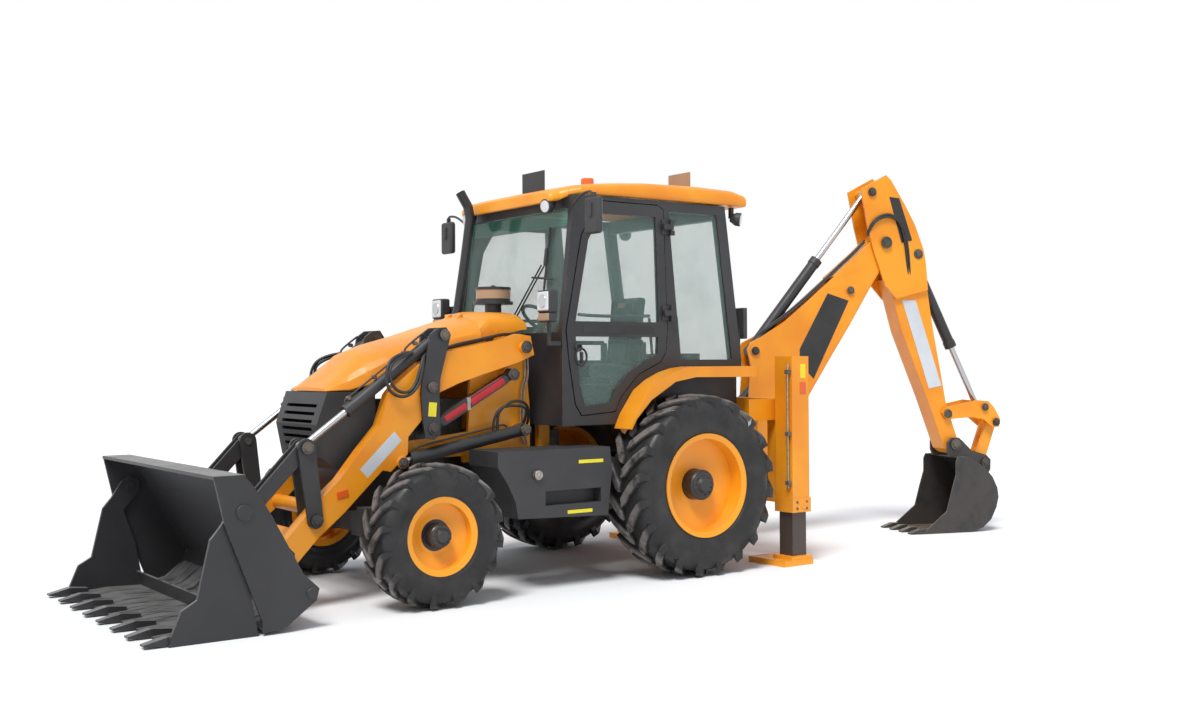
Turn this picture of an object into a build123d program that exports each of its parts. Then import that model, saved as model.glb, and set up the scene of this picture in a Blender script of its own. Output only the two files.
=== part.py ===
"""Backhoe loader: front clam bucket on parallel arms, enclosed cab, sideshift backhoe.

Millimetres.  +X is forward, +Y is left, +Z is up.  The origin is on the ground under the
middle of the rear axle.  Points written as pairs are (x, z) on the machine and (s, z) on the
backhoe, where s runs rearwards from the swing post.
"""
from build123d import *
import math
import os

# ---------------------------------------------------------------- fits and clearances
PIN_FIT = 0.05          # radial running fit of pins, shafts and rods
SEAT_GAP = 0.3          # gap between parts that rest against each other
SIDE_GAP = 5.0          # side clearance between plates that pass each other

# ---------------------------------------------------------------- wheels and axles
WHEELBASE = 2170.0
REAR_TYRE_R = 672.0
REAR_TYRE_W = 430.0
REAR_RIM_R = 356.0
REAR_WHEEL_Y = 922.0
FRONT_TYRE_R = 470.0
FRONT_TYRE_W = 310.0
FRONT_RIM_R = 229.0
FRONT_WHEEL_Y = 915.0
REAR_LUGS = 20
FRONT_LUGS = 16
LUG_SLANT = 34.0         # degrees from straight across the tread
LUG_WIDTH = 0.062        # share of the tyre radius
LUG_CHAMFER_RUN = 42.0   # chamfer at the lugs' outer ends, along the axle
LUG_CHAMFER_DROP = 72.0  # the same chamfer, towards the axle
RIM_LIP = 27.0          # rim flange above the bead seat
RIM_SHEET = 14.0
SPINDLE_R = 35.0
REAR_STUB_R = 60.0
KINGPIN_Y = 700.0
KINGPIN_R = 22.0
AXLE_BEAM_H = 150.0
AXLE_BEAM_D = 130.0

# ---------------------------------------------------------------- chassis
RAIL_Y = 345.0          # outer face of the chassis rails
RAIL_W = 55.0
RAIL_Z0 = 620.0
RAIL_H = 230.0
RAIL_NOTCH_Z = 772.0     # underside of the rail over the rear axle
RAIL_FRONT = 2500.0
RAIL_REAR = -960.0
NOSE_Z = 880.0           # underside of the nose cowl
CAB_MOUNT_X = (-540.0, 930.0)
TOWER_Y = 415.0         # outer face of the loader tower plates
TOWER_T = 30.0

# ---------------------------------------------------------------- bonnet, cowl, tanks, exhaust
COWL_HALF = 352.0
COWL_TOP = 1963.0
BONNET_HINGE = (1497.0, 1935.0)
HOOD_HINGES = (-118.0, 40.0)
HOOD_SHEET = 14.0
HOOD_STEPS = 12
TANK_Y0 = 568.0
TANK_Y1 = 950.0
STACK_R = 38.0
STACK_LINE = [(1285, 1812), (1231, 1996), (1166, 2388), (1120, 2703), (1140, 2800), (1208, 2905)]
INTAKE_X = 1156.0
INTAKE_RINGS = (          # radius, from z, to z
    (62, COWL_TOP + SEAT_GAP, 2030),
    (150, 2022, 2044),
    (130, 2040, 2132),
    (134, 2130, 2151),
    (16, 2149, 2166),
)

# ---------------------------------------------------------------- loader: lateral layers
ARM_IN = 450.0
ARM_OUT = 555.0
LEVER_IN = 425.0
LEVER_PLATE_T = 20.0
LEVER_OUT = 560.0
PIN_END = 596.0
RAM_Y = 505.0
EYE_HALF = 22.0
LIFT_RAM_R = 44.0
CROWD_RAM_R = 40.0
CROWD_ROD_R = 23.0
PISTON_R = 34.0
PISTON_AT = 455.0
LINK_PLATE_T = 20.0

# loader pivots (x, z)
ARM_PIVOT = (1242.0, 1696.0)
TOWER_LINK_PIN = (1323.0, 1501.0)
LIFT_BASE_PIN = (1225.0, 1103.0)
LIFT_ROD_PIN = (2205.0, 919.0)
LEVER_PIVOT = (1990.0, 1421.0)
LEVER_TOP_PIN = (1900.0, 1778.0)
LEVER_LOW_PIN = (1982.0, 1138.0)
TIP_PIVOT = (2834.0, 579.0)
TIP_APEX = (2895.0, 1048.0)
BUCKET_PIN = (3040.0, 345.0)
BUCKET_LINK_PIN = (3225.0, 703.0)
CLAM_PIN = (3511.0, 728.0)
CROSS_TUBE = (2664.0, 612.0)
CROSS_TUBE_R = 50.0

# ---------------------------------------------------------------- loader bucket
BUCKET_HALF = 1115.0
BUCKET_SIDE_T = 20.0
BUCKET_SHEET_T = 14.0
TOOTH_COUNT = 8
TOOTH_SPAN = 2 * (BUCKET_HALF - 78)
TOOTH_TIP_X = 4070.0
LIP_X = 3905.0
CLAM_PIN_R = 28.0
JAW_SIDE_T = 24.0

# ---------------------------------------------------------------- cab
CAB_HALF = 750.0
CAB_WALL = 50.0
DOOR_GAP = 8.0
CAB_FLOOR_Z = 1180.0
CAB_ROOF_Z = 2795.0
DOOR_T = 34.0
GLASS_T = 6.0
FENDER_Y0 = CAB_HALF + SEAT_GAP
FENDER_Y1 = CAB_HALF + 195
HINGE_X = 62.0           # door hinge line
HINGE_Y = CAB_HALF + 35
SEAT_X = 150.0
SEAT_Z = 1430.0

# ---------------------------------------------------------------- backhoe
POST_X = -1360.0        # swing post
POST_Y = -420.0         # sideshift position as parked
SLEW_REST = 20.0        # degrees towards the left as parked
BOOM_PIVOT = (380.0, 720.0)
BOOM_RAM_BASE = (150.0, 1100.0)
BOOM_RAM_PIN = (1304.0, 2223.0)
DIPPER_RAM_BASE = (368.0, 1675.0)
DIPPER_PIVOT = (1653.0, 2663.0)
DIPPER_RAM_PIN = (1516.0, 3124.0)
BUCKET_RAM_BASE = (1987.0, 2566.0)
TIPPER_PIVOT = (2280.0, 1085.0)
TIPPER_ROD_PIN = (2672.0, 1142.0)
TIPPER_LINK_PIN = (2790.0, 1000.0)
HOE_PIN = (2340.0, 800.0)
HOE_LINK_PIN = (2655.0, 625.0)
BOOM_HALF = 115.0
BOOM_T = 20.0
DIPPER_HALF = 142.0
DIPPER_T = 20.0
DIPPER_LOW_HALF = 105.0
TIPPER_HALF = 132.0
HOE_EAR_HALF = 164.0
HOE_HALF = 300.0
HOE_SIDE_T = 12.0
HOE_TEETH = 4
RAM_R = 50.0
ROD_R = 24.0

# ---------------------------------------------------------------- stabilisers and rear frame
LEG_X = -940.0
LEG_Y = 1030.0
LEG_OUT_X = 180.0
LEG_OUT_Y = 190.0
LEG_WALL = 12.0
LEG_TOP = 1622.0
LEG_LOW = 410.0
LEG_IN_X = 145.0
LEG_IN_Y = 145.0
FRAME_FACE_X = -1020.0


# ================================================================ helpers
def box(x0, x1, y0, y1, z0, z1):
    """Box from its limits."""
    solid = Box(x1 - x0, y1 - y0, z1 - z0)
    return Pos((x0 + x1) / 2, (y0 + y1) / 2, (z0 + z1) / 2) * solid


def plate(outline, y0, y1, corner=0.0):
    """Closed outline of (x, z) points, from side face y0 to y1."""
    if corner:
        wire = FilletPolyline(*outline, radius=corner, close=True)
    else:
        wire = Polyline(*outline, close=True)
    face = make_face(wire)
    face = Plane.XZ.offset(-y1) * face
    return extrude(face, amount=y1 - y0, dir=(0, -1, 0))


def disc(pin, radius, y0, y1):
    """Cylinder along Y round a pin (x, z)."""
    body = Cylinder(radius, y1 - y0)
    return Pos(pin[0], (y0 + y1) / 2, pin[1]) * Rot(90, 0, 0) * body


def strap(pin_a, radius_a, pin_b, radius_b, y0, y1):
    """Plate with two round ends."""
    circle_a = Pos(pin_a[0], pin_a[1]) * Circle(radius_a)
    circle_b = Pos(pin_b[0], pin_b[1]) * Circle(radius_b)
    face = make_hull(circle_a.edges() + circle_b.edges())
    face = Plane.XZ.offset(-y1) * face
    return extrude(face, amount=y1 - y0, dir=(0, -1, 0))


def bar(start, end, radius):
    """Round bar between two points."""
    direction = Vector(*end) - Vector(*start)
    place = Plane(origin=start, z_dir=direction)
    body = Cylinder(radius, direction.length, align=(Align.CENTER, Align.CENTER, Align.MIN))
    return place * body


def beam(start, end, width, depth):
    """Rectangular bar between two points: width across, depth in the upright plane."""
    direction = Vector(*end) - Vector(*start)
    across = Vector(0, 1, 0)
    if abs(direction.normalized().Y) > 0.9:
        across = Vector(1, 0, 0)
    place = Plane(origin=start, x_dir=across, z_dir=direction)
    body = Box(width, depth, direction.length, align=(Align.CENTER, Align.CENTER, Align.MIN))
    return place * body


def along(pin_a, pin_b, distance):
    """Point at a distance from pin_a towards pin_b."""
    length = math.dist(pin_a, pin_b)
    share = distance / length
    return (pin_a[0] + share * (pin_b[0] - pin_a[0]), pin_a[1] + share * (pin_b[1] - pin_a[1]))


def moved(pin, dx, dz):
    """Pin shifted by dx, dz."""
    return (pin[0] + dx, pin[1] + dz)


def other_side(shape):
    """Mirror image across the machine's middle plane."""
    return mirror(shape, Plane.XZ)


def both_sides(*shapes):
    """The left pieces and their mirror images."""
    pieces = []
    for shape in shapes:
        pieces.append(shape)
        pieces.append(other_side(shape))
    return pieces


def group(shapes):
    """Separate solids that share one node."""
    solids = []
    for shape in shapes:
        solids.extend(shape.solids())
    return Compound(children=solids)


def barrel(
    base, rod_pin, y, radius, rod_radius, length, bore_depth, eye_radius, pin_radius, eye_half=EYE_HALF,
):
    """Ram barrel with its base eye, bored for its rod."""
    start = along(base, rod_pin, eye_radius * 0.6)
    end = along(base, rod_pin, length)
    gland_start = along(base, rod_pin, length - 60)
    bore_start = along(base, rod_pin, length - bore_depth)
    bore_end = along(base, rod_pin, length + 10)
    tube = bar((start[0], y, start[1]), (end[0], y, end[1]), radius)
    gland = bar((gland_start[0], y, gland_start[1]), (end[0], y, end[1]), radius * 1.12)
    bore = bar((bore_start[0], y, bore_start[1]), (bore_end[0], y, bore_end[1]), rod_radius + PIN_FIT)
    eye = disc(base, eye_radius, y - eye_half, y + eye_half)
    pin_hole = disc(base, pin_radius + PIN_FIT, y - 80, y + 80)
    return tube + gland + eye - bore - pin_hole


def rod(base, rod_pin, y, rod_radius, start_at, eye_radius, pin_radius):
    """Chromed rod with its eye; start_at is measured from the base pin."""
    start = along(base, rod_pin, start_at)
    end = along(rod_pin, base, eye_radius * 0.6)
    stem = bar((start[0], y, start[1]), (end[0], y, end[1]), rod_radius)
    eye = disc(rod_pin, eye_radius, y - EYE_HALF, y + EYE_HALF)
    pin_hole = disc(rod_pin, pin_radius + PIN_FIT, y - 80, y + 80)
    return stem + eye - pin_hole


# ================================================================ wheels
def facet_disc(radius, y, sides):
    """Many-sided face across the Y axis; the radius is to its flats."""
    return Plane.XZ.offset(-y) * RegularPolygon(radius, sides, major_radius=False)


def tyre(radius, width, rim_radius, lugs, lug_height):
    """Faceted tyre about the Y axis at the origin, with slanted lugs in two staggered rows."""
    half = width / 2
    waist = rim_radius + (radius - rim_radius) * 0.45
    base = radius - lug_height
    bead = rim_radius + RIM_LIP
    sides = lugs
    tread = [(waist, half), (base, half - 34), (base, 34 - half), (waist, -half)]
    body = loft([facet_disc(r, y, sides) for r, y in tread], ruled=True)
    bars = []
    for row in (-1, 1):
        for number in range(lugs):
            turn = 360 * (number + 0.25 * row) / lugs
            bars.append(Rot(0, turn, 0) * tyre_lug(radius, half, lug_height, row))
    body = body.fuse(*bars)
    tip = radius * math.cos(math.pi / sides)
    crown, low = half - LUG_CHAMFER_RUN, tip - LUG_CHAMFER_DROP
    limit = [(low, half), (tip, crown), (tip, -crown), (low, -half)]
    body = body & loft([facet_disc(r, y, sides) for r, y in limit], ruled=True)
    seat = rim_radius + SEAT_GAP
    hollow = [(seat, half - 43.5), (bead, half - 34), (waist, half)]
    for sign in (-1, 1):
        body = body - loft([facet_disc(r, sign * y, sides) for r, y in hollow], ruled=True)
    body = body - extrude(facet_disc(seat, half, sides), amount=width)
    return Rot(0, 90, 0) * body


def tyre_lug(radius, half, lug_height, row):
    """One straight lug from the shoulder to just past the middle, its inner end leading."""
    inner, outer = -8.0, half - 8.0
    foot = radius - lug_height - 24
    thick = LUG_WIDTH * radius
    lead = (outer - inner) * math.tan(math.radians(LUG_SLANT)) / 2
    corners = [(inner, lead - thick), (inner, lead), (outer, -lead), (outer, -lead - thick)]
    outline = Polyline(*[(x, row * y) for y, x in corners], close=True)
    return extrude(Plane.XY.offset(foot) * make_face(outline), amount=radius - foot, dir=(0, 0, 1))


def rim(rim_radius, width, hub_radius, disc_y, shaft_radius, shaft_end, cap_y):
    """Rim, dished disc and hub about the Y axis; outer face towards +Y."""
    half = width / 2 - 45
    inner = rim_radius - RIM_SHEET
    lip = rim_radius + RIM_LIP
    profile = Polyline(
        (inner, -half - 8),
        (lip, -half - 22),
        (lip, -half - 12),
        (rim_radius, -half - 2),
        (rim_radius, half + 2),
        (lip, half + 12),
        (lip, half + 22),
        (inner, half + 8),
        (inner, disc_y + 10),
        (hub_radius + 45, disc_y - 18),
        (hub_radius, disc_y - 18),
        (hub_radius, cap_y - 12),
        (hub_radius - 12, cap_y),
        (0, cap_y),
        (0, shaft_end + 4),
        (shaft_radius + PIN_FIT, shaft_end + 4),
        (shaft_radius + PIN_FIT, -40),
        (hub_radius, -40),
        (hub_radius, disc_y - 34),
        (hub_radius + 45, disc_y - 34),
        (inner, disc_y - 12),
        close=True,
    )
    face = make_face(profile)
    return revolve(face, Axis.Y)


def rear_tyre(side):
    body = tyre(REAR_TYRE_R, REAR_TYRE_W, REAR_RIM_R, REAR_LUGS, 36)
    body = body if side > 0 else other_side(body)
    return Pos(0, side * REAR_WHEEL_Y, REAR_TYRE_R) * body


def rear_rim(side):
    body = rim(REAR_RIM_R, REAR_TYRE_W, 112, 50, REAR_STUB_R, 60, 140)
    body = Pos(0, REAR_WHEEL_Y, REAR_TYRE_R) * body
    return body if side > 0 else other_side(body)


def front_tyre(side):
    body = tyre(FRONT_TYRE_R, FRONT_TYRE_W, FRONT_RIM_R, FRONT_LUGS, 26)
    body = body if side > 0 else other_side(body)
    return Pos(WHEELBASE, side * FRONT_WHEEL_Y, FRONT_TYRE_R) * body


def front_rim(side):
    body = rim(FRONT_RIM_R, FRONT_TYRE_W, 78, 45, SPINDLE_R, 60, 110)
    body = Pos(WHEELBASE, FRONT_WHEEL_Y, FRONT_TYRE_R) * body
    return body if side > 0 else other_side(body)


def rear_axle():
    """Casing with its differential bulge, brake housings, rail seats and stub shafts."""
    z = REAR_TYRE_R
    body = bar((0, -700, z), (0, 700, z), 95) + Pos(0, 0, z) * Sphere(205)
    for side in (-1, 1):
        body = body + bar((0, side * 560, z), (0, side * 660, z), 160)
        body = body + bar((0, side * 650, z), (0, side * (REAR_WHEEL_Y + 60), z), REAR_STUB_R)
        seat_y = side * (RAIL_Y - RAIL_W / 2)
        body = body + box(-90, 90, seat_y - 27, seat_y + 27, z, RAIL_NOTCH_Z - SEAT_GAP)
    return body


def front_axle():
    """Beam with a centre boss and a fork and kingpin at each end."""
    x = WHEELBASE
    z = FRONT_TYRE_R
    half_d = AXLE_BEAM_D / 2
    half_h = AXLE_BEAM_H / 2
    body = box(x - half_d, x + half_d, -KINGPIN_Y + 90, KINGPIN_Y - 90, z - half_h, z + half_h)
    body = body + box(x - 90, x + 90, -120, 120, z - 95, z + 105)
    for side in (-1, 1):
        y_in = side * (KINGPIN_Y - 120)
        y_out = side * (KINGPIN_Y + 35)
        low, high = min(y_in, y_out), max(y_in, y_out)
        fork = box(x - 55, x + 55, low, high, z - 105, z + 105)
        gap = side * (KINGPIN_Y - 62)
        inner = box(x - 80, x + 80, min(gap, side * 900), max(gap, side * 900), z - 76, z + 76)
        kingpin = Pos(x, side * KINGPIN_Y, z) * Cylinder(KINGPIN_R, 190)
        body = body + (fork - inner) + kingpin
    return body


def knuckle(side):
    """Steering knuckle on its kingpin, with the wheel spindle and a steering arm."""
    x = WHEELBASE
    z = FRONT_TYRE_R
    block = Pos(x, KINGPIN_Y, z) * Cylinder(50, 150)
    flange = bar((x, KINGPIN_Y, z), (x, KINGPIN_Y + 95, z), 62)
    spindle = bar((x, KINGPIN_Y, z), (x, FRONT_WHEEL_Y + 60, z), SPINDLE_R)
    arm = box(x - 190, x, KINGPIN_Y - 18, KINGPIN_Y + 18, z - 70, z - 40)
    hole = Pos(x, KINGPIN_Y, z) * Cylinder(KINGPIN_R + PIN_FIT, 400)
    body = block + flange + spindle + arm - hole
    return body if side > 0 else other_side(body)


# ================================================================ chassis
def chassis_frame():
    """Rails, front cradle, loader towers and the pins that carry the loader."""
    z0 = RAIL_Z0
    z1 = RAIL_Z0 + RAIL_H
    rail = box(RAIL_REAR, RAIL_FRONT, RAIL_Y - RAIL_W, RAIL_Y, z0, z1)
    rail = rail - box(-112, 112, RAIL_Y - RAIL_W - 1, RAIL_Y + 1, z0 - 1, RAIL_NOTCH_Z)
    body = rail + other_side(rail)
    inner = RAIL_Y - RAIL_W
    for x in (1500, 560, RAIL_REAR + 120):
        body = body + box(x, x + 80, -inner - 5, inner + 5, z0, z0 + 60)
    nose_seat = NOSE_Z - SEAT_GAP
    body = body + box(RAIL_FRONT - 60, RAIL_FRONT + 40, -RAIL_Y, RAIL_Y, z0 - 20, nose_seat)
    cab_seat = CAB_FLOOR_Z - 50 - SEAT_GAP
    for x in CAB_MOUNT_X:
        for y0, y1 in ((inner, RAIL_Y), (-RAIL_Y, -inner)):
            body = body + box(x - 45, x + 45, y0, y1, z1 - 5, cab_seat)
    axle_top = FRONT_TYRE_R + 105 + SEAT_GAP
    body = body + box(WHEELBASE - 110, WHEELBASE + 110, -inner - 5, inner + 5, axle_top, z0 + 60)
    for side in (-1, 1):
        body = body + tower(side)
    return body


def tower(side):
    """Tower plate with its forward ledge and the arm, link and lift-ram pins."""
    inner = TOWER_Y - TOWER_T
    outline = [
        (1101, 640), (1101, 1250), (1135, 1640), (1160, 1760), (1225, 1800),
        (1330, 1770), (1480, 1540), (1598, 1500), (1617, 1100),
        (2170, 1045), (2170, 930), (1660, 930), (1640, 640),
    ]
    body = plate(outline, inner, TOWER_Y)
    body = body + box(1101, 1640, RAIL_Y - 10, inner + 5, RAIL_Z0 + 20, RAIL_Z0 + 160)
    body = body + box(1960, 2080, RAIL_Y - 10, inner + 5, 790, 980)
    body = body + disc(ARM_PIVOT, 92, inner, ARM_IN - SIDE_GAP)
    body = body + disc(ARM_PIVOT, 38, inner, PIN_END)
    body = body + disc(TOWER_LINK_PIN, 27, inner, RAM_Y + EYE_HALF + 8)
    body = body + disc(TOWER_LINK_PIN, 48, inner, RAM_Y - EYE_HALF - SIDE_GAP)
    body = body + disc(LIFT_BASE_PIN, 27, inner, RAM_Y + EYE_HALF + 18)
    body = body + disc(LIFT_BASE_PIN, 50, inner, RAM_Y - LIFT_RAM_R * 1.12 - SIDE_GAP)
    return body if side > 0 else other_side(body)


def engine_block():
    """Engine, gearbox and shaft line as one heavy mass between the rails."""
    engine = box(1560, 2260, -230, 230, 720, 1330)
    gearbox = box(700, 1560, -200, 200, 690, 1080)
    shaft = bar((235, 0, REAR_TYRE_R + 8), (760, 0, 800), 45)
    foot = RAIL_Y - RAIL_W - SEAT_GAP
    mounts = box(1700, 1780, -foot, foot, 760, 800) + box(1000, 1080, -foot, foot, 760, 800)
    return engine + gearbox + shaft + mounts


def grille_panel():
    """Nose cowl with a slatted front, open at the back and below."""
    outline = [
        (2300, NOSE_Z), (2600, NOSE_Z), (2680, 960), (2725, 1180), (2650, 1395), (2300, 1395),
    ]
    body = plate(outline, -345, 345)
    core = [
        (2299, 879), (2590, 879), (2660, 966), (2703, 1180), (2634, 1375), (2299, 1375),
    ]
    body = body - plate(core, -325, 325)
    for row in range(7):
        z = 980 + 52 * row
        body = body - box(2560, 2760, -250, 250, z, z + 22)
    return body


BONNET_ROWS = (           # x, half width, lower edge z, shoulder z, crown z
    (1500, 415, 1700, 1742, 1925),
    (1760, 409, 1655, 1695, 1846),
    (1930, 403, 1622, 1660, 1792),
    (2200, 388, 1520, 1550, 1722),
    (2360, 360, 1440, 1456, 1664),
    (2480, 325, 1408, 1418, 1562),
    (2640, 285, 1400, 1404, 1426),
)
COWL_ROWS = (
    (1085, COWL_HALF, 1825, 1850, 1925),
    (1125, COWL_HALF, 1824, 1868, COWL_TOP),
    (1400, COWL_HALF, 1760, 1868, COWL_TOP),
    (1492, COWL_HALF, 1705, 1760, 1928),
)


def hood(rows, inset, drop):
    """Arched hood lofted through its cross sections, drawn in by inset and down by drop."""
    faces = []
    for x, half, low, shoulder, crown in rows:
        edge = half - inset
        arch = [(edge, low - drop)]
        for step in range(HOOD_STEPS + 1):
            turn = math.radians(180 * step / HOOD_STEPS)
            rise = math.sin(turn) ** 0.8 * (crown - shoulder)
            arch.append((edge * math.cos(turn), shoulder - inset + rise))
        arch.append((-edge, low - drop))
        place = Plane(origin=(x, 0, 0), x_dir=(0, 1, 0), z_dir=(1, 0, 0))
        faces.append(place * make_face(Polyline(*arch, close=True)))
    return loft(faces, ruled=True)


def stretched(rows, back, front):
    """The same rows with the end ones moved out, so that a core cuts through the ends."""
    first, last = rows[0], rows[-1]
    return ((first[0] - back,) + first[1:],) + rows[1:-1] + ((last[0] + front,) + last[1:],)


def bonnet():
    """Tapering one-piece bonnet, hollow underneath."""
    body = hood(BONNET_ROWS, 0, 0) - hood(stretched(BONNET_ROWS, 1, -20), HOOD_SHEET, 40)
    for y in HOOD_HINGES:
        body = body - disc(BONNET_HINGE, 16, y - 2, y + 40)
        body = body + strap((1532, 1902), 10, BONNET_HINGE, 10, y + 40, y + 78)
        body = body - disc(BONNET_HINGE, 5 + PIN_FIT, y - 1, y + 81)
    return body


def body_panels():
    """Fixed cowl behind the bonnet and the two rear fenders."""
    cowl = hood(COWL_ROWS, 0, 0) - hood(stretched(COWL_ROWS, -15, 1), HOOD_SHEET, 80)
    foot = box(1335, 1365, COWL_HALF - 12, TOWER_Y - TOWER_T - SEAT_GAP, 1700, 1810)
    cowl = cowl + foot + other_side(foot)
    for y in HOOD_HINGES:
        cowl = cowl - disc(BONNET_HINGE, 16, y - 2, y + 82)
        cowl = cowl + strap((1460, 1922), 10, BONNET_HINGE, 10, y, y + 38)
        cowl = cowl + disc(BONNET_HINGE, 5, y, y + 80)
    return group([cowl] + both_sides(fender()))


FENDER_TOP = [
    (585, 1100), (534, 1205), (408, 1377), (300, 1450), (181, 1503), (60, 1535), (-53, 1547),
    (-655, 1547),
]


def fender():
    """Rear wheel fender: an arched sheet with a deep outer lip, open below."""
    under = [(-655, 1463), (-40, 1468), (158, 1436), (385, 1306), (522, 1170), (566, 1096)]
    skin = plate(FENDER_TOP + under, FENDER_Y0, FENDER_Y1)
    hollow_top = [(x - 8, z - 14) for x, z in FENDER_TOP]
    hollow = plate(hollow_top + [(-670, 1300), (300, 1000), (560, 1000)], FENDER_Y0 - 1, FENDER_Y1 - 14)
    return skin - hollow


# ================================================================ tanks, exhaust, lamps
def side_tanks():
    """Fuel tank with its step on the left, hydraulic tank on the right, and their hangers."""
    outline = [
        (1700, 985), (1700, 880), (1620, 760), (1560, 640), (1540, 525), (790, 500), (753, 820),
        (770, 985),
    ]
    left = plate(outline, TANK_Y0, TANK_Y1)
    left = left + bar((1389, TANK_Y1 - 1, 816), (1389, TANK_Y1 + 22, 816), 34)
    left = left - box(850, 1320, TANK_Y1 - 90, TANK_Y1 + 1, 600, 700)
    right = other_side(plate(outline, TANK_Y0, TANK_Y1))
    right = right + bar((1120, -700, 984), (1120, -700, 1040), 40)
    for x in (830, 980):
        for side in (-1, 1):
            y0, y1 = sorted((side * (RAIL_Y + SEAT_GAP), side * (TANK_Y0 + 1)))
            hanger = box(x, x + 80, y0, y1, 660, 720)
            if side > 0:
                left = left + hanger
            else:
                right = right + hanger
    return group([left, right])


def intake_and_exhaust():
    """Pre-cleaner bowl on the cowl and the exhaust stack on the right."""
    cleaner = None
    for radius, z0, z1 in INTAKE_RINGS:
        ring = bar((INTAKE_X, 0, z0), (INTAKE_X, 0, z1), radius)
        cleaner = ring if cleaner is None else cleaner + ring
    y = -(COWL_HALF + 46)
    stack = None
    for (x0, z0), (x1, z1) in zip(STACK_LINE, STACK_LINE[1:]):
        piece = bar((x0, y, z0), (x1, y, z1), STACK_R) + Pos(x1, y, z1) * Sphere(STACK_R)
        stack = piece if stack is None else stack + piece
    (x0, z0), (x1, z1) = STACK_LINE[-2:]
    mouth = bar((x1, y, z1), (2 * x1 - x0, y, 2 * z1 - z0), 3 * STACK_R)
    pipe = bar((x0, y, z0), (x1, y, z1), STACK_R - 5)
    bracket = box(1235, 1300, y, -COWL_HALF - SEAT_GAP, 1825, 1865)
    return group([cleaner, stack - mouth - pipe + bracket])


def lamps_and_mirrors():
    """Front lamp clusters, roof work lamps, rear lamps and mirrors on their arms."""
    left = [lamp_cluster(), mirror_arm()]
    front = bar((978, 520, 2725), (1052, 520, 2725), 45)
    left.append(front + box(935 + SEAT_GAP, 990, 500, 540, 2705, 2745))
    back = bar((-600, 620, 2715), (-675, 620, 2715), 45)
    left.append(back + box(-620, -580, 605, 635, 2740, CAB_ROOF_Z + 5 - SEAT_GAP))
    side = box(-740, -700, 640, 745, 1760, 2010) + box(-702, -690, 660, 700, 1530, 1840)
    side = side + box(-702, -665 - SEAT_GAP, 660, 700, 1530, 1590)
    left.append(side)
    return group(both_sides(*left))


def lamp_cluster():
    """Headlamp and signal cluster on its bracket at the cab corner."""
    lamp = box(1130, 1220, 690, 850, 1935, 2095)
    signal = box(1140, 1210, 700, 840, 1870, 1940)
    arm = box(1040 + SEAT_GAP, 1150, 715, 745, 1700, 1740)
    return lamp + signal + arm + box(1130, 1150, 715, 745, 1700, 1900)


def mirror_arm():
    """Mirror head on a tube from the roof corner."""
    head = box(935, 985, CAB_HALF + 190, CAB_HALF + 370, 2480, 2745)
    tube = bar((960, CAB_HALF + 280, 2690), (955, CAB_HALF + SEAT_GAP, 2700), 10)
    return head + tube


# ================================================================ cab
def cab_shell():
    """Floor, lower walls, pillars and roof rails, with the window openings left free."""
    half = CAB_HALF
    inner = half - CAB_WALL
    body = box(-640, 1030, -inner + 5, inner - 5, CAB_FLOOR_Z - 50, CAB_FLOOR_Z)
    body = body + box(1000, 1040, -inner - 5, inner + 5, CAB_FLOOR_Z - 50, 1800)
    body = body + box(-640, 20, -inner + 5, inner - 5, CAB_FLOOR_Z - 10, 1210)
    body = body + box(-665, -625, -half, half, 1480, 1600)
    body = body + box(-665, -625, -inner + 10, inner - 10, CAB_FLOOR_Z - 50, 1500)
    body = body + box(880, 935, -inner - 10, inner + 10, 2700, CAB_ROOF_Z)
    body = body + box(-500, -430, -inner - 10, inner + 10, 2690, CAB_ROOF_Z)
    for side in (-1, 1):
        wall = cab_side()
        body = body + (wall if side > 0 else other_side(wall))
    return body


def cab_side():
    """Left wall of the cab: arch panel, wheel-side wall, pillars and top rail."""
    half = CAB_HALF
    inner = half - CAB_WALL
    sheet = plate(
        [(-665, 1480), (-665, 1600), (150, 1600), (370, 1515), (545, 1345), (600, 1245), (860, 1222),
         (915, 1300), (965, 1600), (1000, 1830), (1040, 1830), (1040, 1130), (545, 1130), (490, 1210),
         (375, 1345), (160, 1452), (-40, 1490)],
        inner, half,
    )
    arch_wall = box(-640, 560, inner - 40, inner - 2, CAB_FLOOR_Z - 50, 1490)
    arch_roof = box(-640, 160, inner - 30, inner + 2, 1470, 1500)
    front_post = plate(
        [(980, 1800), (1040, 1800), (935, CAB_ROOF_Z), (690, CAB_ROOF_Z), (690, 2700), (835, 2500)],
        inner, half,
    )
    middle_post = plate([(-50, 1590), (70, CAB_ROOF_Z), (165, CAB_ROOF_Z), (140, 1590)], inner - 5, half)
    rear_post = plate([(-665, 1590), (-500, CAB_ROOF_Z), (-405, CAB_ROOF_Z), (-570, 1590)], inner - 10, half)
    top_rail = box(-480, 900, inner, half, 2720, CAB_ROOF_Z)
    body = sheet + arch_wall + arch_roof + front_post + middle_post + rear_post + top_rail
    opening = plate(swell(DOOR_OUTLINE, DOOR_GAP), half - DOOR_T - 2, half + 50)
    body = body - opening
    for z in (1950, 2600):
        body = body + box(30, HINGE_X + 2, half - 1, HINGE_Y, z - 60, z - 25)
        body = body + box(30, HINGE_X + 2, half - 1, HINGE_Y, z + 25, z + 60)
        body = body + Pos(HINGE_X, HINGE_Y, z) * Cylinder(10, 120)
    return body


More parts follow.
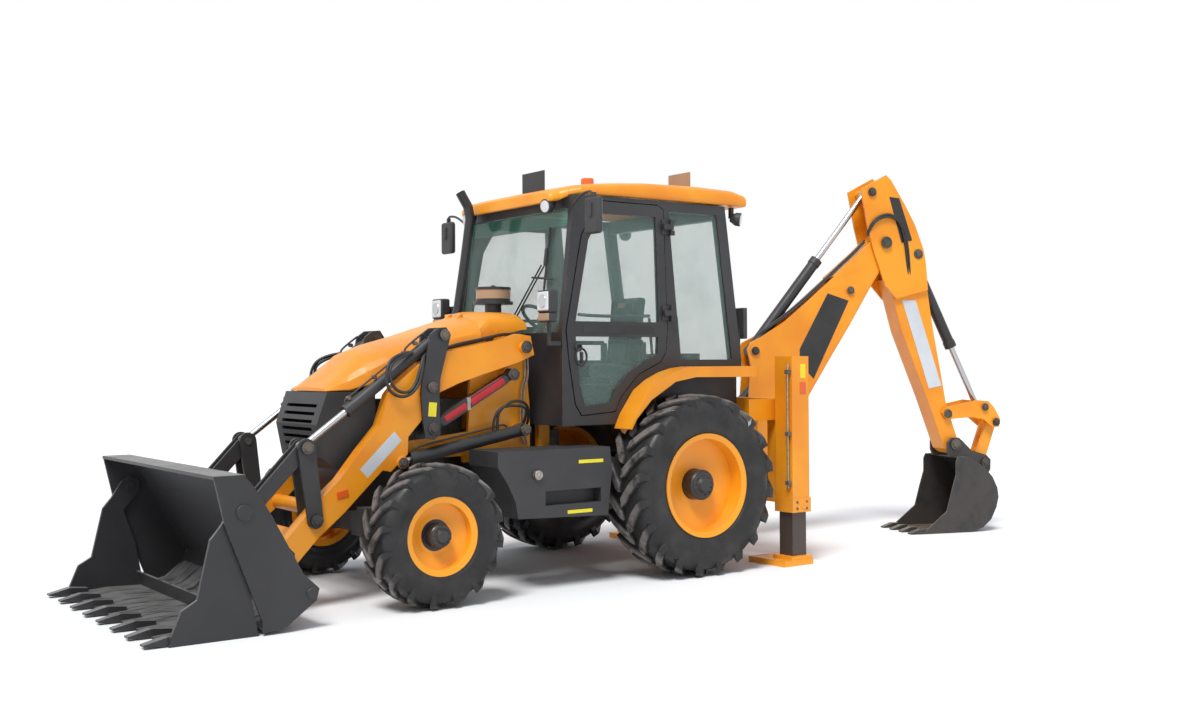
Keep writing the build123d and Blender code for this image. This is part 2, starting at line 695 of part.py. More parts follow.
def cab_roof():
    """Moulded roof, thicker at the back, with a lower visor in the middle of the front."""
    base = CAB_ROOF_Z + 5
    outline = [
        (-700, base), (-718, 2850), (-680, 2930), (-600, 2948), (-300, 2955), (294, 2930), (753, 2893),
        (880, 2862), (935, 2835), (950, base),
    ]
    body = plate(outline, -765, 765)
    visor_outline = [
        (890, base + 5), (890, 2858), (1010, 2842), (1055, 2812), (1066, 2750), (1045, 2738), (960, base + 5),
    ]
    visor = plate(visor_outline, -600, 600)
    seat = box(-490, 930, -690, 690, CAB_ROOF_Z + SEAT_GAP, base + 1)
    body = body + visor + seat
    for side in (-1, 1):
        edge = Pos(150, side * 790, 2985) * Rot(side * 32, 0, 0) * Box(1900, 220, 80)
        corner = Pos(1085, side * 690, 2800) * Rot(0, 0, -side * 14) * Box(110, 700, 400)
        rear_corner = Pos(-745, side * 790, 2860) * Rot(0, 0, side * 45) * Box(90, 120, 300)
        body = body - edge - corner - rear_corner
    return body


def cab_glass():
    """Windscreen, rear window and rear side windows."""
    inner = CAB_HALF - CAB_WALL
    screen_width = 2 * (inner - SEAT_GAP)
    screen = beam((1013, 0, 1801), (917, 0, 2699), screen_width, GLASS_T)
    rear = beam((-630, 0, 1602), (-484, 0, 2688), 2 * (inner - 10 - SEAT_GAP), GLASS_T)
    slope = 120 / (CAB_ROOF_Z - 1590)
    low, high = 1600 + SEAT_GAP, 2720 - SEAT_GAP
    front_low = -50 + slope * (low - 1590) - SEAT_GAP
    front_high = -50 + slope * (high - 1590) - SEAT_GAP
    rear_slope = 165 / (CAB_ROOF_Z - 1590)
    rear_low = -570 + rear_slope * (low - 1590) + SEAT_GAP
    rear_high = -570 + rear_slope * (high - 1590) + SEAT_GAP
    outline = [(rear_low, low), (rear_high, high), (front_high, high), (front_low, low)]
    side = plate(outline, CAB_HALF - 24, CAB_HALF - 24 + GLASS_T)
    return group([screen, rear] + both_sides(side))


DOOR_OUTLINE = [
    (1003, 1815), (979, 1601), (925, 1282), (872, 1204), (575, 1226), (524, 1330),
    (358, 1496), (150, 1585), (100, 1660), (84, 1824), (118, 2730), (170, 2757), (712, 2757), (866, 2500),
]
UPPER_PANE = [(925, 1880), (165, 1880), (190, 2670), (690, 2670), (810, 2470)]
LOWER_PANE = [
    (925, 1770), (890, 1420), (845, 1270), (620, 1288), (580, 1385), (450, 1510), (300, 1590), (180, 1640),
    (170, 1770),
]


def door(side):
    """Door frame with its two window openings, a handle and its hinge eyes."""
    outer = CAB_HALF + 4
    frame = plate(DOOR_OUTLINE, CAB_HALF - DOOR_T + 4, outer)
    frame = frame - plate(UPPER_PANE, 0, 900) - plate(LOWER_PANE, 0, 900)
    grip = bar((905, outer - 1, 1690), (905, outer + 14, 1690), 30)
    grip = grip - bar((905, outer, 1690), (905, outer + 20, 1690), 22)
    body = frame + grip
    for z in (1950, 2600):
        body = body + box(HINGE_X, 135, outer - 4, HINGE_Y + 8, z - 20, z + 20)
        body = body + Pos(HINGE_X, HINGE_Y, z) * Cylinder(18, 40)
        body = body - Pos(HINGE_X, HINGE_Y, z) * Cylinder(10 + PIN_FIT, 60)
    return body if side > 0 else other_side(body)


def shrink(outline, amount):
    """Outline offset inwards by an amount."""
    face = offset(make_face(Polyline(*outline, close=True)), -amount, kind=Kind.INTERSECTION)
    return outline_points(face)


def swell(outline, amount):
    """Outline offset outwards by an amount."""
    face = offset(make_face(Polyline(*outline, close=True)), amount, kind=Kind.INTERSECTION)
    return outline_points(face)


def outline_points(shape):
    """Corner points of a flat face, in order."""
    wire = shape.faces()[0].outer_wire()
    return [(edge.position_at(0).X, edge.position_at(0).Y) for edge in wire.order_edges()]


def door_glass(side):
    """Upper and lower panes of a door."""
    panes = []
    for outline in (UPPER_PANE, LOWER_PANE):
        panes.append(plate(shrink(outline, SEAT_GAP), CAB_HALF - 20, CAB_HALF - 20 + GLASS_T))
    body = group(panes)
    return body if side > 0 else group([other_side(body)])


def cab_controls():
    """Front console with steering column and wheel, seat stand, side and rear consoles."""
    tilt = (-0.62, 0, 0.78)
    centre = (700, 0, 1900)
    front = box(880, 995, -240, 240, CAB_FLOOR_Z + SEAT_GAP, 1760)
    front = front + bar((900, 0, 1650), centre, 32)
    front = front + Plane(origin=centre, z_dir=tilt) * Torus(190, 14)
    front = front + bar((700, -190, 1900), (700, 190, 1900), 10)
    front = front + Plane(origin=centre, z_dir=tilt) * Cylinder(55, 22)
    stand = box(-40, 340, -190, 190, 1210 + SEAT_GAP, SEAT_Z - 24 - SEAT_GAP)
    rear = box(-590, -430, -330, 330, 1210 + SEAT_GAP, 1650)
    for y in (-180, 180):
        rear = rear + bar((-500, y, 1640), (-470, y, 1950), 12)
    side = box(480, 860, -640, -540, CAB_FLOOR_Z + SEAT_GAP, 1560)
    return group([front, stand, rear, side])


def operator_seat():
    """Swivelling seat: turntable, cushion, backrest and armrests."""
    plinth = Pos(SEAT_X, 0, SEAT_Z - 12) * Cylinder(120, 24)
    post = Pos(SEAT_X, 0, SEAT_Z + 15) * Cylinder(60, 30)
    cushion = box(SEAT_X - 210, SEAT_X + 250, -235, 235, SEAT_Z + 20, SEAT_Z + 130)
    back = beam((SEAT_X - 190, 0, SEAT_Z + 110), (SEAT_X - 260, 0, SEAT_Z + 690), 440, 90)
    body = plinth + post + cushion + back
    for y in (-262, 262):
        body = body + box(SEAT_X - 190, SEAT_X + 120, y - 30, y + 30, SEAT_Z + 290, SEAT_Z + 330)
        body = body + box(SEAT_X - 240, SEAT_X - 180, y - 30, y + 30, SEAT_Z + 60, SEAT_Z + 330)
    return body


# ================================================================ loader
ARM_OUTLINE = [
    (1150, 1640), (1275, 1589), (1564, 1507), (1764, 1447), (1930, 1380),
    (2030, 1230), (2160, 1090), (2165, 975), (2290, 862), (2350, 875), (2431, 800),
    (2624, 615), (2812, 460), (2975, 290), (3040, 262), (3110, 300), (3118, 370),
    (3021, 475), (2798, 709), (2659, 830), (2517, 1005), (2372, 1170), (2300, 1380),
    (2235, 1452), (2065, 1580), (1865, 1664), (1440, 1742), (1280, 1790), (1180, 1775),
]


def loader_arm(side):
    """One arm plate box with its pin holes, ram clevis and lever pin."""
    body = plate(ARM_OUTLINE, ARM_IN, ARM_OUT)
    clevis = plate(
        [(2100, 830), (2100, 1085), (2215, 1110), (2330, 1010), (2330, 830)],
        RAM_Y - EYE_HALF - 6, RAM_Y + EYE_HALF + 6,
    )
    body = body - clevis
    body = body - disc(ARM_PIVOT, 38 + PIN_FIT, 300, 700)
    body = body - disc(TIP_PIVOT, 30 + PIN_FIT, 300, 700)
    body = body - disc(BUCKET_PIN, 32 + PIN_FIT, 300, 700)
    body = body + disc(LEVER_PIVOT, 32, LEVER_IN - 6, LEVER_OUT + LEVER_PLATE_T + 8)
    body = body + disc(LIFT_ROD_PIN, 40, ARM_OUT, ARM_OUT + 14)
    return body if side > 0 else other_side(body)


def loader_arms():
    """Both arms with the cross tube and the cross plate ahead of it."""
    body = loader_arm(1) + loader_arm(-1)
    tube = disc(CROSS_TUBE, CROSS_TUBE_R, -ARM_IN - 5, ARM_IN + 5)
    rib = beam((2885, 0, 500), (2960, 0, 433), 2 * ARM_IN + 10, 40)
    return body + tube + rib




def lever_outline():
    return [
        moved(LEVER_TOP_PIN, -55, 0), moved(LEVER_TOP_PIN, -20, 52), moved(LEVER_TOP_PIN, 40, 48),
        moved(LEVER_TOP_PIN, 100, 5), moved(LEVER_PIVOT, 70, 80), moved(LEVER_PIVOT, 85, -40),
        moved(LEVER_LOW_PIN, 80, 70), moved(LEVER_LOW_PIN, 62, -62), moved(LEVER_LOW_PIN, 0, -75),
        moved(LEVER_LOW_PIN, -55, -40), moved(LEVER_PIVOT, -55, -60), moved(LEVER_PIVOT, -62, 60),
    ]


def bell_cranks():
    """Two lever plates each side, astride the arm, with stub pins at their feet."""
    pieces = []
    stub_in = (LEVER_IN + 1, RAM_Y - EYE_HALF - 3)
    stub_out = (RAM_Y + EYE_HALF + 4, LEVER_OUT + 1)
    for y0, stub in ((LEVER_IN, stub_in), (LEVER_OUT, stub_out)):
        body = plate(lever_outline(), y0, y0 + LEVER_PLATE_T)
        body = body - disc(LEVER_PIVOT, 32 + PIN_FIT, 300, 700)
        body = body - disc(LEVER_TOP_PIN, 25 + PIN_FIT, 300, 700)
        body = body + disc(LEVER_LOW_PIN, 25, *stub)
        pieces.append(body)
    return group(both_sides(*pieces))


def levelling_links():
    """Links from the towers to the lever feet, with the stowed safety strut on the left one."""
    y0, y1 = RAM_Y - EYE_HALF, RAM_Y + EYE_HALF
    body = strap(TOWER_LINK_PIN, 34, LEVER_LOW_PIN, 34, y0, y1)
    body = body + disc(TOWER_LINK_PIN, 42, y0, y1) + disc(LEVER_LOW_PIN, 42, y0, y1)
    body = body - disc(TOWER_LINK_PIN, 27 + PIN_FIT, 300, 700)
    body = body - disc(LEVER_LOW_PIN, 26, 300, 700)
    return group(both_sides(body) + [safety_strut()])


def safety_strut():
    """Two-piece strut carried on the left levelling link."""
    y0 = RAM_Y + EYE_HALF + SEAT_GAP
    marks = [along(TOWER_LINK_PIN, LEVER_LOW_PIN, reach) for reach in (85, 400, 430, 640)]
    return strap(marks[0], 32, marks[1], 32, y0, y0 + 26) + strap(marks[2], 36, marks[3], 36, y0, y0 + 26)


def lift_barrels():
    body = barrel(
        LIFT_BASE_PIN, LIFT_ROD_PIN, RAM_Y, LIFT_RAM_R, 25, 915, 815, 46, 27,
    )
    return group(both_sides(body))


def lift_rods():
    body = rod(LIFT_BASE_PIN, LIFT_ROD_PIN, RAM_Y, 25, 130, 44, 25)
    return group(both_sides(body))


def crowd_pins():
    """Trunnion pins at the lever tops."""
    pin = disc(LEVER_TOP_PIN, 25, LEVER_IN - 8, PIN_END)
    return group(both_sides(pin))


def crowd_axis(near, far, radius):
    """Round bar along the left crowd ram, between two distances from its base pin."""
    start = along(LEVER_TOP_PIN, TIP_APEX, near)
    end = along(LEVER_TOP_PIN, TIP_APEX, far)
    return bar((start[0], RAM_Y, start[1]), (end[0], RAM_Y, end[1]), radius)


def crowd_barrels():
    """Crowd ram barrels, bored wider below the gland for their pistons."""
    body = barrel(LEVER_TOP_PIN, TIP_APEX, RAM_Y, CROWD_RAM_R, CROWD_ROD_R, 860, 740, 44, 25)
    body = body - crowd_axis(122, 790, PISTON_R + PIN_FIT)
    return group(both_sides(body))


def crowd_pistons():
    """Piston rings that slide in the crowd barrels round the rods."""
    ring = crowd_axis(PISTON_AT, PISTON_AT + 100, PISTON_R)
    ring = ring - crowd_axis(PISTON_AT - 1, PISTON_AT + 101, CROWD_ROD_R + PIN_FIT)
    return group(both_sides(ring))


def crowd_rods():
    body = rod(LEVER_TOP_PIN, TIP_APEX, RAM_Y, CROWD_ROD_R, 450, 42, 26)
    return group(both_sides(body))


def arm_pins():
    """Pins through the arms that carry the tipping levers and the bucket."""
    lever_pin = disc(TIP_PIVOT, 30, LEVER_IN - 8, PIN_END)
    bucket_pin = disc(BUCKET_PIN, 32, LEVER_IN - 8, PIN_END)
    return group(both_sides(lever_pin, bucket_pin))


def tip_levers():
    """Two tipping-lever plates each side, astride the arm."""
    pieces = []
    for y0 in (LEVER_IN, LEVER_OUT):
        body = strap(TIP_PIVOT, 52, TIP_APEX, 60, y0, y0 + LEVER_PLATE_T)
        body = body - disc(TIP_PIVOT, 30 + PIN_FIT, 300, 700)
        body = body - disc(TIP_APEX, 25 + PIN_FIT, 300, 700)
        pieces.append(body)
    return group(both_sides(*pieces))


def link_pins():
    """Stub pins at the apex, which leave the middle free for the rod's eye."""
    inner = disc(TIP_APEX, 25, LEVER_IN - 8, RAM_Y - EYE_HALF - 4)
    outer = disc(TIP_APEX, 25, RAM_Y + EYE_HALF + 4, PIN_END)
    return group(both_sides(inner, outer))


def tip_links():
    """Tipping links from the apex to the bucket, a pair of plates each side."""
    pieces = []
    for y0 in (ARM_IN + 2, ARM_OUT - LINK_PLATE_T - 2):
        body = strap(TIP_APEX, 50, BUCKET_LINK_PIN, 46, y0, y0 + LINK_PLATE_T)
        body = body - disc(TIP_APEX, 25 + PIN_FIT, 300, 700)
        body = body - disc(BUCKET_LINK_PIN, 28, 300, 700)
        pieces.append(body)
    middle = along(TIP_APEX, BUCKET_LINK_PIN, 300)
    spacer = disc(middle, 30, ARM_IN + 10, ARM_OUT - 10)
    return group(both_sides(pieces[0] + pieces[1] + spacer))


def loader_bucket():
    """Rear part of the clam bucket: back sheet, top lip, side plates and hinge ears."""
    half = BUCKET_HALF
    back_outline = [
        (3516, 946), (3459, 886), (3358, 724), (3146, 336), (3085, 245), (3110, 150), (3250, 44),
        (3380, 16), (3395, 34), (3262, 62), (3128, 165), (3106, 245), (3160, 330), (3374, 716),
        (3472, 876), (3522, 930),
    ]
    body = plate(back_outline, -half + 1, half - 1)
    body = body + box(3500, 3690, -half + 1, half - 1, 926, 946)
    side_outline = [
        (3690, 946), (3516, 946), (3459, 886), (3358, 724), (3146, 336), (3047, 243), (3066, 174),
        (3250, 40), (3400, 14), (3402, 88), (3621, 649),
    ]
    side = plate(side_outline, half - BUCKET_SIDE_T, half)
    side = side + disc((3096, 218), 32, half - BUCKET_SIDE_T, half + 10)
    side = side + disc(CLAM_PIN, 45, half - 1, half + 14)
    side = side + disc(CLAM_PIN, CLAM_PIN_R, half - BUCKET_SIDE_T - SIDE_GAP - JAW_SIDE_T - 10, half)
    body = body + side + other_side(side)
    ear_outline = [
        (3395, 760), (3330, 790), (3195, 765), (3168, 700), (3140, 560), (2978, 385), (2978, 305),
        (3040, 270), (3110, 240), (3160, 330),
    ]
    for y0 in (LEVER_IN - 2, LEVER_OUT):
        ear = plate(ear_outline, y0, y0 + LEVER_PLATE_T) - disc(BUCKET_PIN, 32 + PIN_FIT, 300, 700)
        body = body + ear + other_side(ear)
    stubs = disc(BUCKET_LINK_PIN, 26, LEVER_IN, ARM_IN - 1)
    stubs = stubs + disc(BUCKET_LINK_PIN, 26, ARM_OUT + 1, LEVER_OUT + 1)
    return body + stubs + other_side(stubs)


def bucket_jaw():
    """Front jaw: floor, side plates, cutting edge and teeth."""
    half = BUCKET_HALF - BUCKET_SIDE_T - SIDE_GAP
    body = plate([(3416, 0), (LIP_X + 30, 0), (LIP_X + 30, 14), (LIP_X - 230, 30), (3416, 20)], -half, half)
    body = body + plate([(3416, 0), (3436, 0), (3470, 120), (3455, 124)], -half, half)
    side_outline = [
        (3416, 4), (3928, 4), (3928, 43), (3865, 196), (3776, 248), (3701, 581), (3640, 655),
        (3575, 760), (3511, 800), (3450, 760), (3448, 690), (3560, 560), (3480, 330),
    ]
    side = plate(side_outline, half - JAW_SIDE_T, half) - disc(CLAM_PIN, CLAM_PIN_R + PIN_FIT, 900, half + 1)
    body = body + side + other_side(side)
    for row in range(TOOTH_COUNT):
        y = -TOOTH_SPAN / 2 + row * TOOTH_SPAN / (TOOTH_COUNT - 1)
        tooth = plate(
            [(LIP_X - 90, 20), (LIP_X - 90, 46), (LIP_X + 30, 58), (TOOTH_TIP_X, 26), (TOOTH_TIP_X, 16),
             (LIP_X + 20, 2)],
            y - 34, y + 34,
        )
        body = body + tooth
    return body


# ================================================================ rear frame and stabilisers
def rear_frame():
    """Frame plate with the two carriage rails and the stabiliser boxes at its ends."""
    x0 = FRAME_FACE_X
    end = LEG_Y - 90
    body = box(x0 + 50, x0 + 110, -end, end, 470, 1290)
    body = body - box(x0 + 40, x0 + 120, -780, 780, 600, 1120)
    body = body + box(x0, x0 + 60, -end, end, 1200, 1290)
    body = body + box(x0, x0 + 60, -end, end, 470, 560)
    for side in (-1, 1):
        y0, y1 = sorted((side * (RAIL_Y + SEAT_GAP), side * (RAIL_Y + 40)))
        body = body + box(x0 + 100, -660, y0, y1, 560, 1100)
        body = body + box(x0 + 60, x0 + 112, y0, y1, 560, 1200)
        y0, y1 = sorted((side * 820, side * 885))
        body = body + box(x0 + 100, -620, y0, y1, 1120, 1285)
        y0, y1 = sorted((side * 370, side * 825))
        body = body + box(-740, -680, y0, y1, 1040, 1100)
        body = body + box(-740, -680, min(side * 800, side * 850), max(side * 800, side * 850), 1040, 1130)
        body = body + stabiliser_box(side)
    return body


def stabiliser_box(side):
    """Square outer tube with its collar, open below for the leg."""
    x, y = LEG_X, LEG_Y
    hx, hy = LEG_OUT_X / 2, LEG_OUT_Y / 2
    tube = box(x - hx, x + hx, y - hy, y + hy, LEG_LOW + 100, LEG_TOP)
    collar = box(x - hx - 8, x + hx + 8, y - hy - 4, y + hy + 8, LEG_LOW, LEG_LOW + 110)
    ix = LEG_IN_X / 2 + SEAT_GAP
    iy = LEG_IN_Y / 2 + SEAT_GAP
    bore = box(x - ix, x + ix, y - iy, y + iy, LEG_LOW - 1, LEG_TOP - 20)
    body = tube + collar - bore
    return body if side > 0 else other_side(body)


def stabiliser_leg(side):
    """Inner leg with its foot pad."""
    x, y = LEG_X, LEG_Y
    leg = box(x - LEG_IN_X / 2, x + LEG_IN_X / 2, y - LEG_IN_Y / 2, y + LEG_IN_Y / 2, 60, 1000)
    pad = box(-1050, -745, 730, 1140, 0, 45)
    top = box(x - 110, x + 110, y - 110, y + 100, 40, 70)
    body = leg + pad + top
    return body if side > 0 else other_side(body)


# ================================================================ backhoe
def hoe(shape):
    """Place a piece drawn in the backhoe's own plane on the machine."""
    place = Location((POST_X, POST_Y, 0), (0, 0, 180 - SLEW_REST))
    return place * shape


def hoe_group(shapes):
    """Separate backhoe solids that share one node."""
    return group([hoe(shape) for shape in shapes])


def carriage():
    """Sideshift carriage: clamp plate on the rails with upper and lower swing lugs."""
    y = POST_Y
    back = FRAME_FACE_X - 10
    body = box(back - 70, back, y - 300, y + 300, 440, 1325)
    body = body + box(back - 10, FRAME_FACE_X + 45, y - 300, y + 300, 1290 + SEAT_GAP, 1325)
    body = body + box(back - 10, FRAME_FACE_X + 45, y - 300, y + 300, 440, 470 - SEAT_GAP)
    for z0 in (520, 1160):
        body = body + box(POST_X, back - 60, y - 85, y + 85, z0, z0 + 60)
        body = body + Pos(POST_X, y, z0 + 30) * Cylinder(95, 60)
    body = body + Pos(POST_X, y, (520 + 1230) / 2) * Cylinder(42, 1230 - 520)
    for side in (-1, 1):
        body = body + bar((back - 110, y + side * 230, 700), (back - 110, y + side * 230, 1150), 48)
        body = body + box(back - 75, back - 60, y + side * 230 - 30, y + side * 230 + 30, 720, 1130)
    return body


def kingpost():
    """Swing post with the boom ears and the boom-ram horn."""
    hub = Pos(0, 0, (585 + 1155) / 2) * Cylinder(88, 1155 - 585)
    web = plate([(0, 600), (250, 640), (380, 640), (400, 800), (230, 1150), (60, 1150), (0, 1140)], -88, 88)
    slot = plate([(100, 620), (600, 560), (600, 1300), (215, 1300), (90, 1100)], -58, 58)
    body = hub + web - slot
    for side in (-1, 1):
        y0, y1 = (58, 88) if side > 0 else (-88, -58)
        body = body + strap(BOOM_PIVOT, 88, (150, 760), 80, y0, y1)
        body = body + disc(BOOM_PIVOT, 40, min(side * 58, side * 130), max(side * 58, side * 130))
        body = body + strap(BOOM_RAM_BASE, 55, (110, 900), 60, y0, y1)
    body = body + disc(BOOM_RAM_BASE, 28, -88, 88)
    body = body - Pos(0, 0, 900) * Cylinder(42 + PIN_FIT, 900)
    return hoe(body)


BOOM_OUTLINE = [
    (300, 640), (380, 612), (470, 650), (560, 780), (799, 1152), (1099, 1627), (1301, 1935), (1537, 2321),
    (1715, 2560), (1745, 2640), (1700, 2745), (1600, 2745), (1407, 2560),
    (1125, 2325), (906, 2138), (777, 2033), (660, 1940), (436, 1803), (330, 1752),
    (296, 1690), (330, 1540), (300, 1200), (275, 760),
]


def boom():
    """Two side plates with a bottom web, an end tongue and ram bosses."""
    body = None
    for y0 in (-BOOM_HALF, BOOM_HALF - BOOM_T):
        side = plate(BOOM_OUTLINE, y0, y0 + BOOM_T)
        body = side if body is None else body + side
    inner = BOOM_HALF - 2
    low_web = plate(
        [(640, 880), (799, 1130), (1099, 1605), (1301, 1913), (1537, 2299), (1600, 2390),
         (1582, 2402), (1520, 2312), (1284, 1926), (1082, 1618), (782, 1143), (624, 892)],
        -inner, inner,
    )
    top_web = plate(
        [(1150, 2335), (1407, 2550), (1560, 2690), (1548, 2704), (1395, 2564), (1138, 2349)],
        -inner, inner,
    )
    tongue = disc(DIPPER_PIVOT, 95, -BOOM_HALF, BOOM_HALF)
    diaphragm = plate([(1440, 2180), (1460, 2180), (1520, 2650), (1500, 2650)], -inner, inner)
    body = body + low_web + top_web + tongue + diaphragm
    ram_slot = [(1380, 2080), (1540, 2120), (1540, 2300), (1440, 2330), (1380, 2200)]
    body = body - plate(ram_slot, -RAM_R - 12, RAM_R + 12)
    for pin, radius in ((BOOM_RAM_PIN, 42), (DIPPER_RAM_BASE, 46)):
        for side in (-1, 1):
            y0, y1 = sorted((side * (BOOM_HALF - 1), side * (BOOM_HALF + 12)))
            body = body + disc(pin, radius, y0, y1)
    body = body + disc(DIPPER_RAM_BASE, 28, -BOOM_HALF, BOOM_HALF)
    body = body - disc(BOOM_PIVOT, 40 + PIN_FIT, -200, 200)
    body = body - disc(DIPPER_PIVOT, 42 + PIN_FIT, -200, 200)
    return hoe(body)


def hoe_barrel(base, rod_pin, length, bore_depth):
    body = barrel(base, rod_pin, 0, RAM_R, ROD_R + 4, length, bore_depth, 48, 28, eye_half=47)
    return hoe(body)


def hoe_rod(base, rod_pin, start_at):
    body = rod(base, rod_pin, 0, ROD_R + 4, start_at, 46, 28)
    return hoe(body)


def boom_barrel():
    return hoe_barrel(BOOM_RAM_BASE, BOOM_RAM_PIN, 1385, 1250)


def boom_rod():
    return hoe_rod(BOOM_RAM_BASE, BOOM_RAM_PIN, 560)


def dipper_barrel():
    return hoe_barrel(DIPPER_RAM_BASE, DIPPER_RAM_PIN, 1060, 930)


def dipper_rod():
    return hoe_rod(DIPPER_RAM_BASE, DIPPER_RAM_PIN, 845)


def bucket_barrel():
    return hoe_barrel(BUCKET_RAM_BASE, TIPPER_ROD_PIN, 955, 830)


def bucket_rod():
    return hoe_rod(BUCKET_RAM_BASE, TIPPER_ROD_PIN, 500)


HEAD_OUTLINE = [
    (1409, 3149), (1664, 3285), (1714, 3241), (1856, 3015), (1957, 2833), (2045, 2603), (2068, 2465),
    (2086, 2233), (1760, 2150), (1645, 2276), (1527, 2600), (1470, 2824),
]
LOWER_OUTLINE = [
    (1700, 2330), (2086, 2330), (2155, 1863), (2283, 1185), (2405, 830), (2390, 740), (2330, 715),
    (2262, 760),
    (2078, 1250), (1832, 1850),
]


def dipper():
    """Head cheeks astride the boom end and a box section down to the bucket pin."""
    inner = DIPPER_HALF - DIPPER_T
    body = plate(LOWER_OUTLINE, -DIPPER_LOW_HALF, DIPPER_LOW_HALF)
    hollow = [(1760, 2350), (2040, 2350), (2120, 1863), (2235, 1300), (2130, 1320), (1890, 1880)]
    body = body - plate(hollow, -DIPPER_LOW_HALF + 16, DIPPER_LOW_HALF - 16)
    ram_way = strap(BUCKET_RAM_BASE, 72, along(BUCKET_RAM_BASE, TIPPER_ROD_PIN, 800), 80, -60, 60)
    body = body - ram_way
    for y0 in (-DIPPER_HALF, inner):
        body = body + plate(HEAD_OUTLINE, y0, y0 + DIPPER_T)
    back_web = plate(
        [(1700, 3230), (1845, 3005), (1944, 2830), (2010, 2690), (1985, 2680), (1922, 2815), (1825, 2990),
         (1684, 3210)],
        -inner - 1, inner + 1,
    )
    body = body + back_web
    for side in (-1, 1):
        y0, y1 = sorted((side * (DIPPER_LOW_HALF - 1), side * (inner + 1)))
        body = body + plate([(1760, 2150), (1700, 2330), (2060, 2330), (2084, 2233)], y0, y1)
        y0, y1 = sorted((side * (DIPPER_HALF - 1), side * (DIPPER_HALF + 10)))
        body = body + disc(DIPPER_RAM_PIN, 40, y0, y1)
        y0, y1 = sorted((side * 57, side * (inner + 1)))
        body = body + disc(BUCKET_RAM_BASE, 46, y0, y1)
        y0, y1 = sorted((side * (EYE_HALF + 30), side * (inner + 1)))
        body = body + disc(DIPPER_RAM_PIN, 40, y0, y1)
    body = body + disc(DIPPER_PIVOT, 42, -DIPPER_HALF - 18, DIPPER_HALF + 18)
    body = body + disc(BUCKET_RAM_BASE, 28, -inner, inner)
    body = body + disc(HOE_PIN, 34, -HOE_EAR_HALF - 14, HOE_EAR_HALF + 14)
    body = body - disc(TIPPER_PIVOT, 30 + PIN_FIT, -300, 300)
    return hoe(body)


def tipping_lever():
    """Pair of bent plates on a pin through the dipper, joined by a spacer tube."""
    body = None
    outline = [
        moved(TIPPER_PIVOT, -56, 10), moved(TIPPER_PIVOT, -30, 55), (2507, 1190), (2592, 1207),
        (2720, 1196), (2784, 1129), moved(TIPPER_LINK_PIN, 55, 20), moved(TIPPER_LINK_PIN, 40, -45),
        moved(TIPPER_LINK_PIN, -30, -50), (2660, 1030), (2527, 1049), (2368, 1038),
        moved(TIPPER_PIVOT, -10, -52),
    ]
    for y0 in (-TIPPER_HALF, TIPPER_HALF - 20):
        side = plate(outline, y0, y0 + 20)
        body = side if body is None else body + side
    body = body + disc(TIPPER_PIVOT, 30, -TIPPER_HALF - 12, TIPPER_HALF + 12)
    spacer = disc((2536, 1130), 22, -TIPPER_HALF, TIPPER_HALF)
    body = body + spacer
    for side in (-1, 1):
        y0, y1 = sorted((side * 66, side * (TIPPER_HALF + 14)))
        body = body + disc(TIPPER_ROD_PIN, 26, y0, y1)
        y0, y1 = sorted((side * 66, side * (TIPPER_HALF + 12)))
        body = body + disc(TIPPER_LINK_PIN, 28, y0, y1)
    return hoe(body)


def tipping_link():
    """Two-plate link from the lever to the bucket, open in the middle for the ram's rod."""
    body = strap(TIPPER_LINK_PIN, 50, HOE_LINK_PIN, 52, -62, 62)
    body = body - strap(TIPPER_LINK_PIN, 70, HOE_LINK_PIN, 70, -32, 32)
    body = body + disc(along(HOE_LINK_PIN, TIPPER_LINK_PIN, 105), 30, -40, 40)
    body = body - disc(TIPPER_LINK_PIN, 28 + PIN_FIT, -200, 200)
    body = body - disc(HOE_LINK_PIN, 30 + PIN_FIT, -200, 200)
    return hoe(body)


def hoe_bucket():
    """Digging bucket: curved sheet, side plates, hinge ears, cutting edge and teeth."""
    outer = [
        (2345, 690), (2400, 690), (2560, 600), (2650, 500), (2698, 400), (2710, 315), (2686, 219),
        (2630, 110), (2546, 40), (2420, 0), (1890, 0),
    ]
    inner = [
        (1890, 14), (2416, 14), (2538, 53), (2618, 120), (2672, 224), (2696, 315), (2685, 396),
        (2638, 492), (2552, 588), (2396, 676), (2345, 676),
    ]
    body = plate(outer + inner, -HOE_HALF + 2, HOE_HALF - 2)
    side_outline = [(2269, 647), (2290, 690)] + outer[:-1] + [
        (1930, 0), (1954, 30), (2171, 200), (2225, 392), (2268, 528),
    ]
    for y0 in (-HOE_HALF, HOE_HALF - HOE_SIDE_T):
        body = body + plate(side_outline, y0, y0 + HOE_SIDE_T)
    ear_outline = [
        (2262, 820), (2300, 862), (2380, 862), (2420, 830), (2512, 742), (2670, 695), (2715, 650),
        (2711, 560), (2660, 480), (2560, 590), (2400, 684), (2285, 684), (2262, 740),
    ]
    for side in (-1, 1):
        y0, y1 = sorted((side * (HOE_EAR_HALF - 24), side * HOE_EAR_HALF))
        body = body + plate(ear_outline, y0, y1) - disc(HOE_PIN, 34 + PIN_FIT, y0 - 1, y1 + 1)
    body = body + disc(HOE_LINK_PIN, 30, -HOE_EAR_HALF - 14, HOE_EAR_HALF + 14)
    for row in range(HOE_TEETH):
        y = -HOE_HALF + 40 + row * (2 * HOE_HALF - 80) / (HOE_TEETH - 1)
        body = body + plate([(1960, 4), (1960, 44), (1900, 46), (1806, 12), (1806, 2)], y - 32, y + 32)
    return hoe(body)




